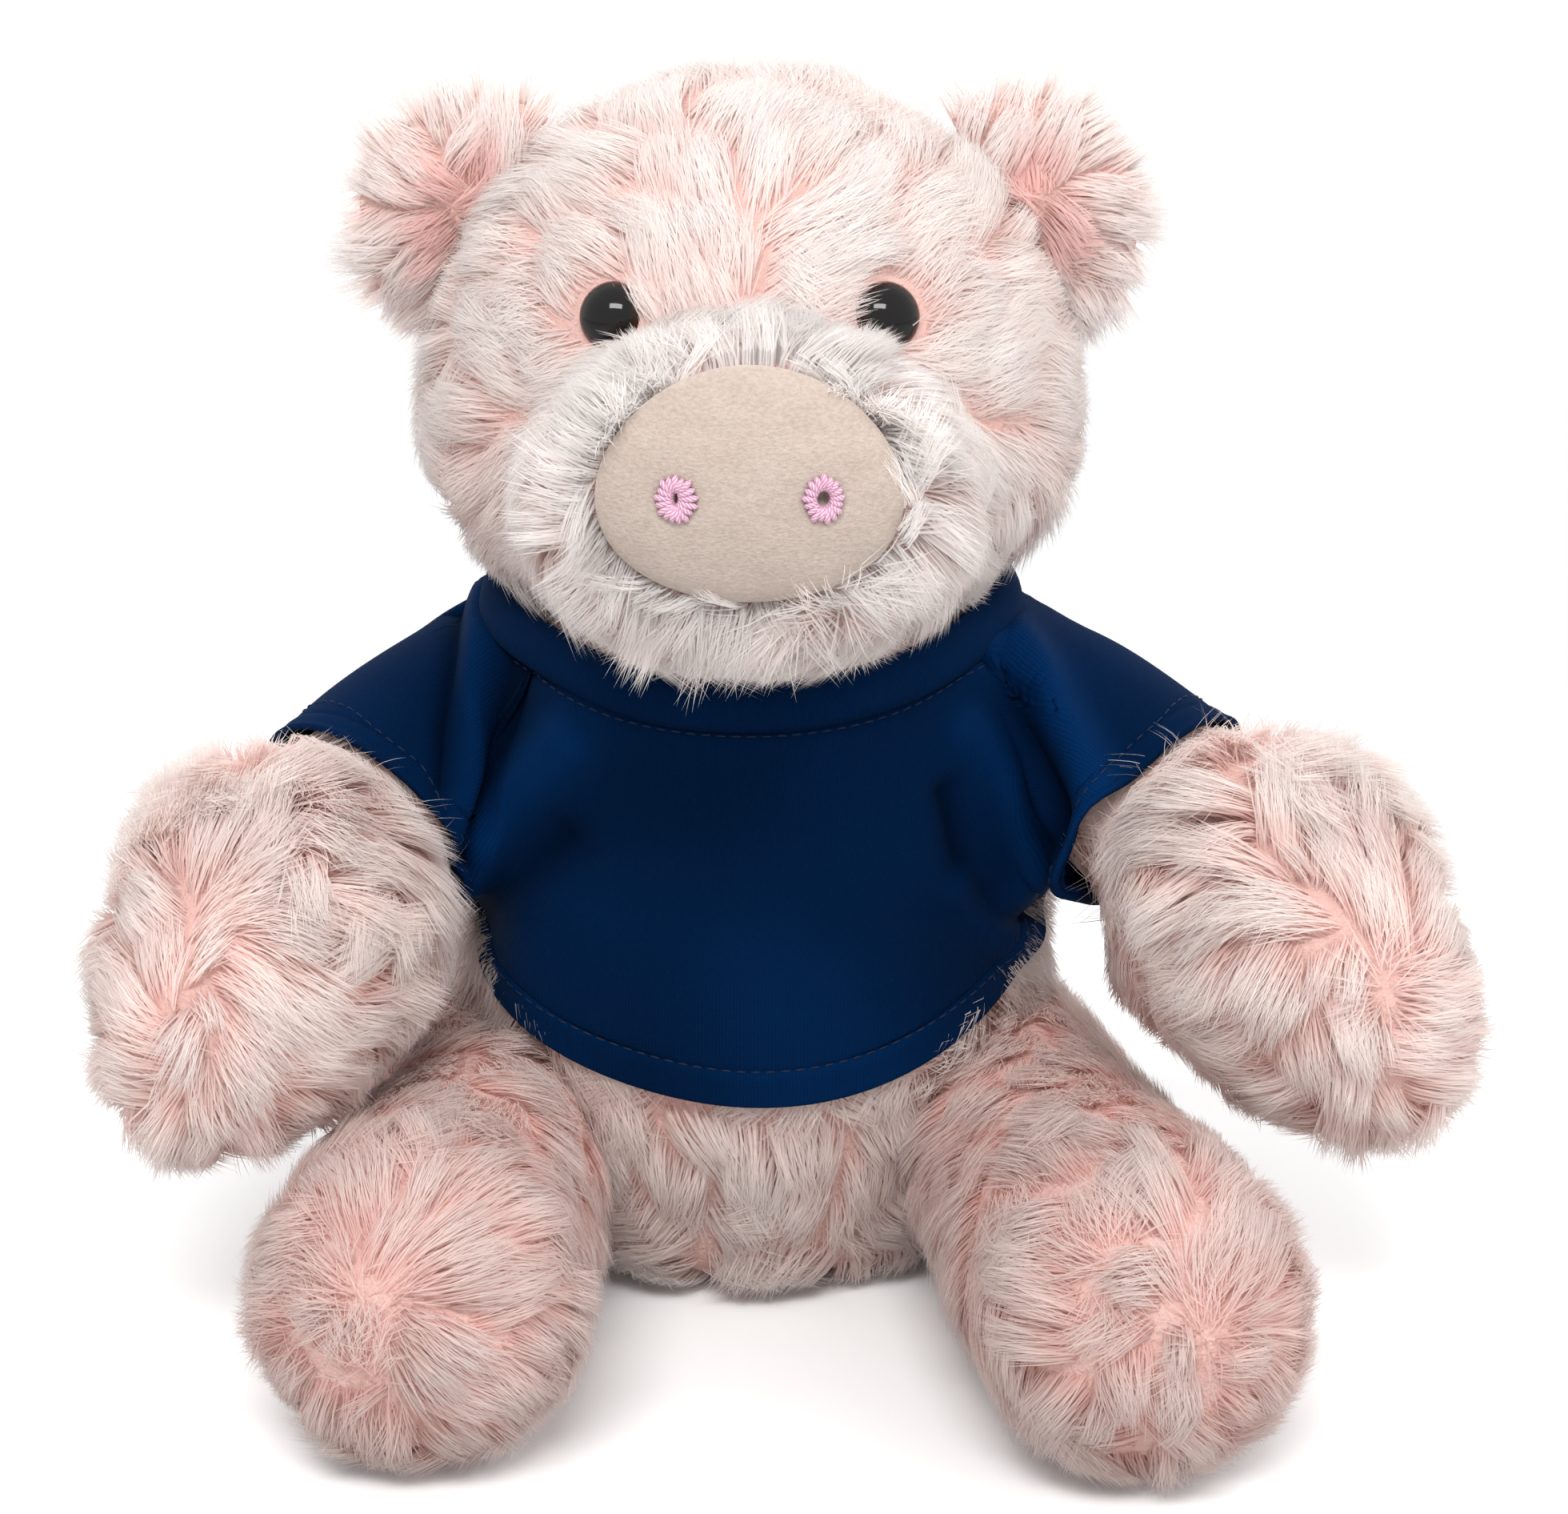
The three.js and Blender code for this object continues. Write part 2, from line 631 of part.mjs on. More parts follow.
// Where a ray first leaves what the cloth wraps, or nothing if it doesn't within the distance given
function clothAt(origin, direction, farthest, wrapped = outsideBody) {
  const outside = (distance) => wrapped(origin.clone().addScaledVector(direction, distance)) > jerseyEase;
  const stride = farthest / searchSteps;
  let far = stride;
  while (far <= farthest && !outside(far)) far += stride;
  if (far > farthest) return null;
  let near = far - stride;
  for (let i = 0; i < searchSteps; i++) {
    const between = (near + far) / 2;
    if (outside(between)) far = between;
    else near = between;
  }
  const point = origin.clone().addScaledVector(direction, far);
  const step = jerseyEase / 2;
  const slope = (axis) => {
    const ahead = point.clone().setComponent(axis, point.getComponent(axis) + step);
    const back = point.clone().setComponent(axis, point.getComponent(axis) - step);
    return wrapped(ahead) - wrapped(back);
  };
  const normal = new THREE.Vector3(slope(0), slope(1), slope(2)).normalize();
  const rise = foldAt(point);
  return {
    inner: point.clone().addScaledVector(normal, rise),
    outer: point.clone().addScaledVector(normal, rise + jerseyThick),
    point,
  };
}

// A closed solid between two sheets of points in rows; one that goes round has its last column at its first
function cloth(rows, goesRound) {
  const columns = rows[0].length;
  const count = rows.length * columns;
  const places = [...rows.flat().map(({ inner }) => inner), ...rows.flat().map(({ outer }) => outer)];
  const faces = [];
  const quad = (a, b, c, d) => faces.push(a, b, c, a, c, d);
  const at = (row, column) => row * columns + (column % columns);
  const lastColumn = goesRound ? columns : columns - 1;
  for (let column = 0; column < lastColumn; column++) {
    for (let row = 0; row < rows.length - 1; row++) {
      const corners = [at(row, column), at(row, column + 1), at(row + 1, column + 1), at(row + 1, column)];
      quad(...corners.map((corner) => corner + count));
      quad(...corners.reverse());
    }
    for (const [row, first, second] of [[0, column, column + 1], [rows.length - 1, column + 1, column]]) {
      quad(at(row, first), at(row, second), at(row, second) + count, at(row, first) + count);
    }
  }
  if (!goesRound) {
    for (let row = 0; row < rows.length - 1; row++) {
      for (const [column, first, second] of [[0, row + 1, row], [columns - 1, row, row + 1]]) {
        quad(at(first, column), at(second, column), at(second, column) + count, at(first, column) + count);
      }
    }
  }
  const geometry = new THREE.BufferGeometry();
  geometry.setAttribute("position", new THREE.Float32BufferAttribute(places.flatMap((p) => p.toArray()), 3));
  geometry.setIndex(faces);
  return solidOf(geometry);
}

// The raglan seam lies in a plane through neckband and armpit; this is how far a point lies beyond it
function raglanPlane(name) {
  const top = new THREE.Vector3(sides[name] * torsoHalfWidth * raglanTopShare, 0, torsoHeight);
  const foot = new THREE.Vector3(
    sides[name] * torsoHalfWidth * raglanFootShare,
    0,
    torsoHeight * armpitHeightShare,
  );
  const normal = new THREE.Vector3(top.z - foot.z, 0, foot.x - top.x);
  if (normal.x * sides[name] < 0) normal.negate();
  return new THREE.Plane().setFromNormalAndCoplanarPoint(normal.normalize(), top);
}

const raglans = { left: raglanPlane("left"), right: raglanPlane("right") };

// The halfs of space beyond and short of a plane, each with a share of the seam's gap
const beyond = ({ normal, constant }) => halfSpace(
  normal.clone().multiplyScalar(-constant - seamGap / 2),
  normal,
);
const shortOf = ({ normal, constant }) => halfSpace(
  normal.clone().multiplyScalar(-constant + seamGap / 2),
  normal.clone().negate(),
);

// The neck seam rises in one plane from the front to the sides, and runs level round the back
const neckFront = torsoHeight * neckSeamFrontShare;
const neckSide = torsoHeight * neckSeamSideShare;
const neckHeight = (y) => Math.min(neckSide, neckSide + ((neckSide - neckFront) * y) / torsoHalfDepth);
const neckCorner = new THREE.Vector3(0, 0, neckSide);
const neckPlanes = [new THREE.Vector3(0, neckFront - neckSide, torsoHalfDepth), up].map((normal) => (
  new THREE.Plane().setFromNormalAndCoplanarPoint(normal.clone().normalize(), neckCorner)
));
const aboveNeckSeam = () => joined(...neckPlanes.map(beyond));
const belowNeckSeam = () => shortOf(neckPlanes[0]).intersect(shortOf(neckPlanes[1]));

// A place on the front or back of the shirt: an angle round the torso from its side, and a height.
// Deep under an arm a level ray never leaves the cloth, which there lies on the torso alone.
function aroundTorso(angle, height) {
  const middle = new THREE.Vector3(0, 0, height);
  const direction = new THREE.Vector3(Math.cos(angle), Math.sin(angle), 0);
  const farthest = torsoHalfWidth * 2;
  return clothAt(middle, direction, farthest) ?? clothAt(middle, direction, farthest, outsideTorso);
}

// The angle at which a row of the shirt reaches the raglan seam, or else the side seam
function seamAngle(height, name, facing) {
  const angleOf = (turn) => Math.PI / 2 * facing - sides[name] * facing * turn;
  const inside = (turn) => {
    const found = aroundTorso(angleOf(turn), height);
    return raglans[name].distanceToPoint(found.point) < panelOverlap;
  };
  const farthest = Math.PI / 2 + panelOverlap / torsoHalfWidth;
  const stride = farthest / searchSteps;
  let near = 0;
  while (near < farthest && inside(near + stride)) near += stride;
  let far = near + stride;
  for (let i = 0; i < searchSteps / 2; i++) {
    const between = (near + far) / 2;
    if (inside(between)) near = between;
    else far = between;
  }
  return angleOf(near);
}

// The front or the back of the shirt: facing is -1 for the front and 1 for the back
function bodyPanel(facing, hemMiddleShare) {
  const [lowest, highest] = [hemMiddleShare * torsoHeight, neckSide + neckbandHeight];
  const stride = (highest - lowest) / (panelUp * 2);
  const edges = Array.from({ length: panelUp * 2 + 1 }, (_, i) => ["right", "left"].map(
    (name) => seamAngle(lowest + stride * i, name, facing),
  ));
  const seen = (share, height) => {
    const index = Math.min(Math.floor((height - lowest) / stride), panelUp * 2 - 1);
    const between = (height - lowest) / stride - index;
    const [right, left] = [0, 1].map((k) => (
      THREE.MathUtils.lerp(edges[index][k], edges[index + 1][k], between)
    ));
    return aroundTorso(THREE.MathUtils.lerp(right, left, (share + 1) / 2), height);
  };
  const rows = Array.from({ length: panelUp + 1 }, () => []);
  for (let column = 0; column <= panelAcross; column++) {
    const share = (2 * column) / panelAcross - 1;
    const hem = THREE.MathUtils.lerp(hemMiddleShare, hemSideShare, share ** 2) * torsoHeight;
    // The top edge follows the sloping neck seam
    let top = torsoHeight * neckSeamFrontShare;
    for (let i = 0; i < 3; i++) top = neckHeight(seen(share, top).point.y) + panelOverlap;
    rows.forEach((row, i) => row.push(seen(share, THREE.MathUtils.lerp(hem, top, i / panelUp))));
  }
  const seam = new THREE.Plane(new THREE.Vector3(0, -facing, 0), 0);
  return trimmed(
    cloth(rows, false),
    beyond(raglans.left),
    beyond(raglans.right),
    aboveNeckSeam(),
    beyond(seam),
    torsoForm(fitGap),
    limbForm(arms.left, fitGap),
    limbForm(arms.right, fitGap),
  );
}

// A sleeve runs from the raglan and neck seams to its hem, in rings square to the arm's spine
function sleeve(name) {
  const rows = Array.from({ length: sleeveAlong + 1 }, () => []);
  const hem = arms[name].length * sleeveShare;
  const farthest = armRootRadius * 2;
  for (let column = 0; column < sleeveAround; column++) {
    const angle = (2 * Math.PI * column) / sleeveAround;
    const ringAt = (distance) => {
      const { point, across, along } = spineAt(arms[name], distance);
      const direction = across.multiplyScalar(Math.cos(angle)).addScaledVector(along, Math.sin(angle));
      return clothAt(point, direction, farthest);
    };
    const sewn = (distance) => {
      const found = ringAt(distance);
      return found
        && raglans[name].distanceToPoint(found.point) > -panelOverlap
        && found.point.z < neckHeight(found.point.y) + panelOverlap;
    };
    let [near, far] = [-farthest, hem];
    for (let i = 0; i < searchSteps; i++) {
      const between = (near + far) / 2;
      if (sewn(between)) far = between;
      else near = between;
    }
    rows.forEach((row, i) => row.push(ringAt(THREE.MathUtils.lerp(far, hem, i / sleeveAlong))));
  }
  return trimmed(
    cloth(rows, true),
    shortOf(raglans[name]),
    aboveNeckSeam(),
    torsoForm(fitGap),
    limbForm(arms[name], fitGap),
  );
}

// The neckband stands on the neck seam and leans in a little
function neckband() {
  const rows = [[], [], []];
  for (let column = 0; column < torsoSides * 2; column++) {
    const angle = (Math.PI * column) / torsoSides;
    let foot = aroundTorso(angle, torsoHeight * neckSeamFrontShare).point;
    for (let i = 0; i < 3; i++) foot = aroundTorso(angle, neckHeight(foot.y)).point;
    const out = new THREE.Vector3(Math.cos(angle), Math.sin(angle), 0);
    rows.forEach((row, i) => {
      const share = i / (rows.length - 1);
      const inner = foot.clone().addScaledVector(up, neckbandHeight * share);
      inner.addScaledVector(out, -neckbandLean * share ** 2);
      row.push({ inner, outer: inner.clone().addScaledVector(out, neckbandThick) });
    });
  }
  return trimmed(cloth(rows, true), belowNeckSeam(), headSweep);
}

// The pieces of the whole pig, each cut by the larger ones that it meets

const floor = halfSpace(new THREE.Vector3(0, 0, 0), new THREE.Vector3(0, 0, -1));
const headSweep = headForm(fitGap, around(headHalfWidth, headSides), around(headHalfWidth, headSides));
const torsoHollows = [
  headSweep,
  armSocket("left", armRootRadius + fitGap),
  armSocket("right", armRootRadius + fitGap),
  legSocket("left", legRootRadius + fitGap),
  legSocket("right", legRootRadius + fitGap),
  socket(tailRoot, new THREE.Vector3(0, 1, 0), tailRootRadius + fitGap, tailSwing, skinWall, seamSides),
];

const pieces = {};
pieces.torso_skin = cut(torsoForm(0), torsoForm(-skinWall, coreSides, coreRings), ...torsoHollows);
pieces.torso_stuffing = cut(torsoForm(-skinWall - stuffingGap, coreSides, coreRings), ...torsoHollows);

const eyes = { left: eyeParts(sides.left), right: eyeParts(sides.right) };
const headCore = (grow) => headForm(grow - skinWall, headHalfWidth, headHalfDepth, coreSides, coreSides);
pieces.head_skin = cut(
  headForm(0),
  headCore(0),
  muzzleForm(-skinWall, coreSides),
  eyes.left.eyeHole,
  eyes.right.eyeHole,
  earGroove(sides.left),
  earGroove(sides.right),
);
pieces.head_stuffing = cut(headCore(-stuffingGap), eyes.left.washerRoom, eyes.right.washerRoom);
pieces.muzzle_skin = cut(
  muzzleForm(0), muzzleForm(-skinWall, coreSides), headForm(fitGap), snoutForm(fitGap),
);
pieces.muzzle_stuffing = cut(muzzleForm(-skinWall - stuffingGap, coreSides), headCore(0), snoutForm(fitGap));
pieces.snout_disc = snoutForm(0);
for (const [name, side] of Object.entries(sides)) {
  pieces[`nostril_${name}`] = nostril(side);
  pieces[`eye_${name}`] = eyes[name].eye;
  pieces[`eye_washer_${name}`] = eyes[name].washer;
  const { front, back } = earPanels(side);
  pieces[`ear_${name}_front`] = front;
  pieces[`ear_${name}_back`] = back;

  pieces[`arm_${name}_skin`] = cut(limbForm(arms[name], 0), limbCore(arms[name], 0));
  pieces[`arm_${name}_stuffing`] = limbCore(arms[name], -stuffingGap).intersect(limbForm(arms[name], 0));

  const toe = spineAt(legs[name], legs[name].length * toeSeamShare);
  const toeSeam = new THREE.Plane().setFromNormalAndCoplanarPoint(toe.tangent, toe.point);
  const legSkin = cut(limbForm(legs[name], 0), limbCore(legs[name], 0), floor);
  pieces[`leg_${name}_skin`] = cut(legSkin, beyond(toeSeam));
  pieces[`foot_${name}_skin`] = cut(legSkin, shortOf(toeSeam));
  pieces[`leg_${name}_stuffing`] = limbCore(legs[name], -stuffingGap).intersect(limbForm(legs[name], 0));
  pieces[`shirt_sleeve_${name}`] = sleeve(name);
}
pieces.tail = tailForm();
pieces.shirt_front = bodyPanel(-1, hemFrontShare);
pieces.shirt_back = bodyPanel(1, hemBackShare);
pieces.shirt_neckband = neckband();

// Materials and the finished group

const fur = new THREE.MeshStandardMaterial({ color: 0xf1cfc6, roughness: 0.95, metalness: 0 });
const innerEarFur = new THREE.MeshStandardMaterial({ color: 0xf0b3aa, roughness: 0.95, metalness: 0 });
const velour = new THREE.MeshStandardMaterial({ color: 0xd8bfb2, roughness: 0.9, metalness: 0 });
const thread = new THREE.MeshStandardMaterial({ color: 0xd2a0c0, roughness: 0.6, metalness: 0 });
const gloss = new THREE.MeshStandardMaterial({ color: 0x14100f, roughness: 0.1, metalness: 0 });
const washerPlastic = new THREE.MeshStandardMaterial({ color: 0xe4e2dc, roughness: 0.5, metalness: 0 });
const jersey = new THREE.MeshStandardMaterial({ color: 0x0a2a56, roughness: 0.85, metalness: 0 });
const fibre = new THREE.MeshStandardMaterial({ color: 0xf4f2ee, roughness: 1, metalness: 0 });

function materialOf(name) {
  if (name.endsWith("_stuffing")) return fibre;
  if (name.startsWith("shirt_")) return jersey;
  if (name.startsWith("nostril_")) return thread;
  if (name.startsWith("eye_washer_")) return washerPlastic;
  if (name.startsWith("eye_")) return gloss;
  if (name === "snout_disc") return velour;
  return /^ear_.*_front$/.test(name) ? innerEarFur : fur;
}

const pig = new THREE.Group();
const reach = new THREE.Box3();
for (const [name, solid] of Object.entries(pieces)) {
  const geometry = geometryOf(solid);
  geometry.computeBoundingBox();
  reach.union(geometry.boundingBox);
  const mesh = new THREE.Mesh(geometry, materialOf(name));
  mesh.name = name;
  pig.add(mesh);
}

// The pig's origin is on the floor, under the middle of everything it takes up
const middle = reach.getCenter(new THREE.Vector3());
pig.position.set(-middle.x, -middle.y, 0);

export default pig;
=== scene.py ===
"""The looks of a seated plush pig in a T-shirt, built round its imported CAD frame.

Shapes are worked out in millimetres in the maker's own axes: +Z up, the face towards -Y, the pig's left
towards +X, and the middle of the torso's seat at the origin. Each finished mesh is in metres, in the frame's
axes.
"""

import math

import bpy
import numpy as np
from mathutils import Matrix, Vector


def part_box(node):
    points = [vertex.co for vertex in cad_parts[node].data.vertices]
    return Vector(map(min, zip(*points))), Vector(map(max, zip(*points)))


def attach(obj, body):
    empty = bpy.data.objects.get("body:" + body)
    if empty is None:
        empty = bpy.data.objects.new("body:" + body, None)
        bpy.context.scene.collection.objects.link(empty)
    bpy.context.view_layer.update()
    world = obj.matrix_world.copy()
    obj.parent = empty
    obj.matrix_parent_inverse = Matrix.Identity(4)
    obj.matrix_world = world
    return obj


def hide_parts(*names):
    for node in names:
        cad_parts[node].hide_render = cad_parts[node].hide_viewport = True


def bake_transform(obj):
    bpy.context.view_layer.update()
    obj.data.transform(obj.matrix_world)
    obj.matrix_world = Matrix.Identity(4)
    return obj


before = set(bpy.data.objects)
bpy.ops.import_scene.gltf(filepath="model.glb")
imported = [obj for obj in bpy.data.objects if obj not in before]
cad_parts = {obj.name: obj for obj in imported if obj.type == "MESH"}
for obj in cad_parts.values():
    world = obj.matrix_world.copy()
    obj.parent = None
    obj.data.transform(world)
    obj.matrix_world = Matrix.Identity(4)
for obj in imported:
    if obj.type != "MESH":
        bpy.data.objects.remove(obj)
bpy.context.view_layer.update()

MM = 0.001
SIDES = {"left": 1, "right": -1}

# The middle of the torso, which the frame moves off its own origin
torso_low, torso_high = (np.array(corner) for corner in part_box("torso_skin"))
ORIGIN = np.array([*((torso_low + torso_high) / 2)[:2], 0.0])

# Camera, as the photograph was taken: width and height of the picture, in pixels
PICTURE = (1960, 1892)
FOCAL_PIXELS = 4250
CAMERA_LIFT = math.radians(20)
CAMERA_DISTANCE = 650
AIM_HEIGHT = 100
AIM_PIXEL = (937, 920)

# Fabrics
JERSEY_THICK = 1.2
JERSEY_EASE = 0.6

# Torso
TORSO_HEIGHT, TORSO_HALF_WIDTH, TORSO_HALF_DEPTH = 131, 56, 50
TORSO_OUTLINE = [
    (0.6, 0), (0.82, 0.04), (0.94, 0.13), (1, 0.33), (0.985, 0.54), (0.95, 0.7), (0.9, 0.84), (0.85, 0.93),
    (0.74, 1),
]

# Head, muzzle and snout
HEAD_HALF_WIDTH, HEAD_HALF_DEPTH, HEAD_RISE, HEAD_DROP = 60, 52, 62, 44
HEAD_MIDDLE = np.array([0, -4, 165])
MUZZLE_HALF_WIDTH, MUZZLE_HALF_HEIGHT, MUZZLE_REACH = 39, 29, 31
MUZZLE_OUTLINE = [(0.9, 0), (1, 0.35), (0.98, 0.6), (0.9, 0.84), (0.74, 1)]
MUZZLE_HEIGHT_SHARE, MUZZLE_LIFT, MUZZLE_ROOT_SHARE = -0.09, 9, 0.55
SNOUT_HALF_WIDTH, SNOUT_HALF_HEIGHT, SNOUT_THICK, SNOUT_RISE_SHARE = 25.5, 19.5, 7.5, 0.46
NOSTRIL_SPACING, NOSTRIL_HALF_WIDTH, NOSTRIL_HALF_HEIGHT, NOSTRIL_DROP_SHARE = 23.4, 3.2, 3.8, 0.03

# Eyes and ears
EYE_RADIUS, EYE_DOME, EYE_SPACING, EYE_RISE_SHARE, EYE_SUNK = 6, 5, 49, 0.45, 3.6
EAR_HALF_BASE, EAR_REACH, EAR_THICK, EAR_LEAN = 25, 23, 4.6, math.radians(28)
EAR_SIDE_SHARE, EAR_RISE_SHARE, EAR_BACK_SHARE = 0.83, 0.57, 0.06

# Arms and legs
ARM_ROOT, PAW_RADIUS, ARM_SWELLS = 19.5, 29.5, (0.29, 0.52)
SHOULDER = (0.893, 0.79)
ARM_BENDS = {"left": (38, 28, 8), "right": (33, 29, 11)}
ARM_TIPS = {"left": (69, 70, 52), "right": (49, 84, 48)}
LEG_ROOT, FOOT_RADIUS, LEG_SWELLS = 25, 29, (0.22, 0.74)
HIP = (0.84, 0.2)
FLOOR_CUT = 0.5
LEG_TIPS = {"left": (27, 109), "right": (14, 105)}

# Tail
TAIL_RADIUS, TAIL_CURL, TAIL_LENGTH = 3.5, 7, 19
TAIL_HEIGHT_SHARE, TAIL_TURNS, TAIL_CURL_SHARE = 0.24, 1.1, 0.45


# Curves and arrays


def unit(vectors):
    """Each vector divided by its own length."""
    return vectors / np.maximum(np.linalg.norm(vectors, axis=-1, keepdims=True), 1e-9)


def dot(a, b):
    return np.sum(a * b, axis=-1, keepdims=True)


def smooth(value, low, high):
    """0 below low, 1 above high, and a smooth rise between them."""
    t = np.clip((value - low) / (high - low), 0, 1)
    return t * t * (3 - 2 * t)


def circle(count):
    """Even angles once round, without the last, which is the first again."""
    return np.linspace(0, 2 * math.pi, count, endpoint=False)


def always(*way):
    """The same direction at every place."""
    return lambda points: np.broadcast_to(unit(np.array(way, float)), points.shape)


def catmull(points, count):
    """A smooth curve through points, whose slope at each is half the step between its neighbours."""
    points = np.array(points, float)
    t = np.linspace(0, len(points) - 1, count)
    i = np.minimum(t.astype(int), len(points) - 2)
    w = (t - i)[:, None]
    before, here, after, beyond = (points[np.clip(i + k, 0, len(points) - 1)] for k in (-1, 0, 1, 2))
    leave, arrive = (after - before) / 2, (beyond - here) / 2
    return (
        here * (2 * w**3 - 3 * w**2 + 1)
        + leave * (w**3 - 2 * w**2 + w)
        + after * (3 * w**2 - 2 * w**3)
        + arrive * (w**3 - w**2)
    )


def between(at, steps, values):
    """Values along a line at distances from its start, read between those at its steps."""
    return np.stack([np.interp(at, steps, values[:, k]) for k in range(3)], axis=-1)


def distances(line):
    """The distance of each place on a line from its start."""
    return np.concatenate([[0], np.cumsum(np.linalg.norm(np.diff(line, axis=0), axis=1))])


def halve(near, far, passed, times):
    """Where passed turns true between near and far, found by halving the stretch again and again."""
    for _ in range(times):
        middle = (near + far) / 2
        out = passed(middle)
        far, near = np.where(out, middle, far), np.where(out, near, middle)
    return far


def rings_about(places, radius, across, along, columns):
    """A ring round each place, in the plane of two directions."""
    angle = circle(columns)[None, :, None]
    ring = across[:, None] * np.cos(angle) + along[:, None] * np.sin(angle)
    return places[:, None] + radius[:, None, None] * ring


def waves(points, size, seed, channels=1):
    """Smooth noise in -1..1: the mean of sine waves of about one wavelength, in fixed random directions."""
    draw = np.random.default_rng(seed)
    count = 7
    turn = unit(draw.normal(size=(count, 3))) * (2 * math.pi / size) * draw.uniform(0.6, 1.5, (count, 1))
    start = draw.uniform(0, 2 * math.pi, (count, channels))
    weight = draw.normal(size=(count, channels)) / math.sqrt(count)
    phase = points @ turn.T
    return np.einsum("...k,kc->...c", np.sin(phase), np.cos(start) * weight) + np.einsum(
        "...k,kc->...c", np.cos(phase), np.sin(start) * weight
    )


# Meshes


def to_frame(points):
    return points * MM + ORIGIN


def link_object(name, data):
    made = bpy.data.objects.new(name, data)
    bpy.context.scene.collection.objects.link(made)
    return made


def make_object(name, points, corners, sides, fabric):
    """An object from points in millimetres and faces that all have the same number of sides."""
    mesh = bpy.data.meshes.new(name)
    count = len(corners) // sides
    mesh.vertices.add(len(points))
    mesh.vertices.foreach_set("co", to_frame(points).astype(np.float32).ravel())
    mesh.loops.add(len(corners))
    mesh.loops.foreach_set("vertex_index", corners.astype(np.int32))
    mesh.polygons.add(count)
    mesh.polygons.foreach_set("loop_start", np.arange(count, dtype=np.int32) * sides)
    mesh.polygons.foreach_set("use_smooth", np.full(count, True))
    mesh.update(calc_edges=True)
    mesh.validate()
    mesh.materials.append(fabric)
    return link_object(name, mesh)


def set_attribute(made, name, values):
    """A vector for each vertex, which the materials read by name."""
    attribute = made.data.attributes.new(name, "FLOAT_VECTOR", "POINT")
    attribute.data.foreach_set("vector", values.astype(np.float32).ravel())


def set_uv(made, name, at_vertex):
    """A UV map from one place for each vertex."""
    corner = np.zeros(len(made.data.loops), np.int32)
    made.data.loops.foreach_get("vertex_index", corner)
    layer = made.data.uv_layers.new(name=name)
    layer.data.foreach_set("uv", at_vertex[corner].astype(np.float32).ravel())


def uv_grid(v, u):
    """A UV place for each place of a grid, from the V of its rows and the U of its columns."""
    v, u = np.meshgrid(v, u, indexing="ij")
    return np.stack([u, v], axis=-1).reshape(-1, 2)


def grid_corners(rows, columns, goes_round):
    """The quads between neighbouring places of a grid, whose columns may run round."""
    last = columns if goes_round else columns - 1
    row, column = np.meshgrid(np.arange(rows - 1), np.arange(last), indexing="ij")
    after = (column + 1) % columns
    a, b = row * columns + column, row * columns + after
    return np.stack([a, b, b + columns, a + columns], axis=-1).reshape(-1, 4)


def turned_out(points, quads):
    """The quads of a closed surface, all turned over if they enclose less than nothing."""
    a, b, c, d = (points[quads[:, k]] for k in range(4))
    volume = np.sum(a * np.cross(b, c)) + np.sum(a * np.cross(c, d))
    return quads if volume > 0 else quads[:, ::-1]


def lid(columns):
    """Quads across a ring of an even number of places."""
    k = np.arange(columns // 2 - 1)
    return np.stack([k, k + 1, columns - 2 - k, columns - 1 - k], axis=-1)


def closed_tube(rings):
    """Points and quads of a tube of rings, whose end rings are drawn in to their middles and closed."""
    first, last = rings[0].mean(0), rings[-1].mean(0)
    drawn = np.concatenate([
        (first + (rings[0] - first) * 0.02)[None], rings, (last + (rings[-1] - last) * 0.02)[None],
    ])
    count, columns = drawn.shape[:2]
    quads = [grid_corners(count, columns, True), lid(columns)[:, ::-1], lid(columns) + (count - 1) * columns]
    points = drawn.reshape(-1, 3)
    return points, turned_out(points, np.concatenate(quads)).ravel()


def tube(name, rings, fabric):
    """A closed tube as an object, with U round it and V along it."""
    points, corners = closed_tube(rings)
    made = make_object(name, points, corners, 4, fabric)
    rows, columns = rings.shape[0] + 2, rings.shape[1]
    set_uv(made, "UVMap", uv_grid(np.linspace(0, 1, rows), np.linspace(0, 1, columns, endpoint=False)))
    return made


def grid_normals(grid, goes_round):
    """The way out of a surface at each place of its grid, from the steps along its rows and its columns."""
    along = np.gradient(grid, axis=0)
    if goes_round:
        padded = np.concatenate([grid[:, -1:], grid, grid[:, :1]], axis=1)
        around = (padded[:, 2:] - padded[:, :-2]) / 2
    else:
        around = np.gradient(grid, axis=1)
    normals = unit(np.cross(around, along))
    outwards = np.sum((grid - grid.mean((0, 1))) * normals)
    return normals * (1 if outwards > 0 else -1)


# The forms, as grids of places


torso_profile = catmull(TORSO_OUTLINE, 200)


def torso_share(height):
    return np.interp(height / TORSO_HEIGHT, torso_profile[:, 1], torso_profile[:, 0])


def torso_grid(rows, columns, depth=0):
    """Rings of an ellipse whose size follows the outline, from the middle of the seat up to the neck."""
    height = np.linspace(0, 1, rows) ** 1.15 * TORSO_HEIGHT
    share = torso_share(height)
    angle = circle(columns)
    round_x, round_y = np.cos(angle), np.sin(angle)
    x = (TORSO_HALF_WIDTH * share - depth)[:, None] * round_x
    y = (TORSO_HALF_DEPTH * share - depth)[:, None] * round_y
    z = np.broadcast_to(height[:, None], x.shape)
    return np.stack([x, y, np.clip(z, depth, TORSO_HEIGHT - depth)], axis=-1)


def outside_torso(points):
    """How far points lie outside the torso, measured level from its middle."""
    share = torso_share(points[..., 2])
    ratio = np.hypot(points[..., 0] / TORSO_HALF_WIDTH, points[..., 1] / TORSO_HALF_DEPTH) / share
    away = np.hypot(points[..., 0], points[..., 1])
    return away * (1 - 1 / np.maximum(ratio, 1e-6))


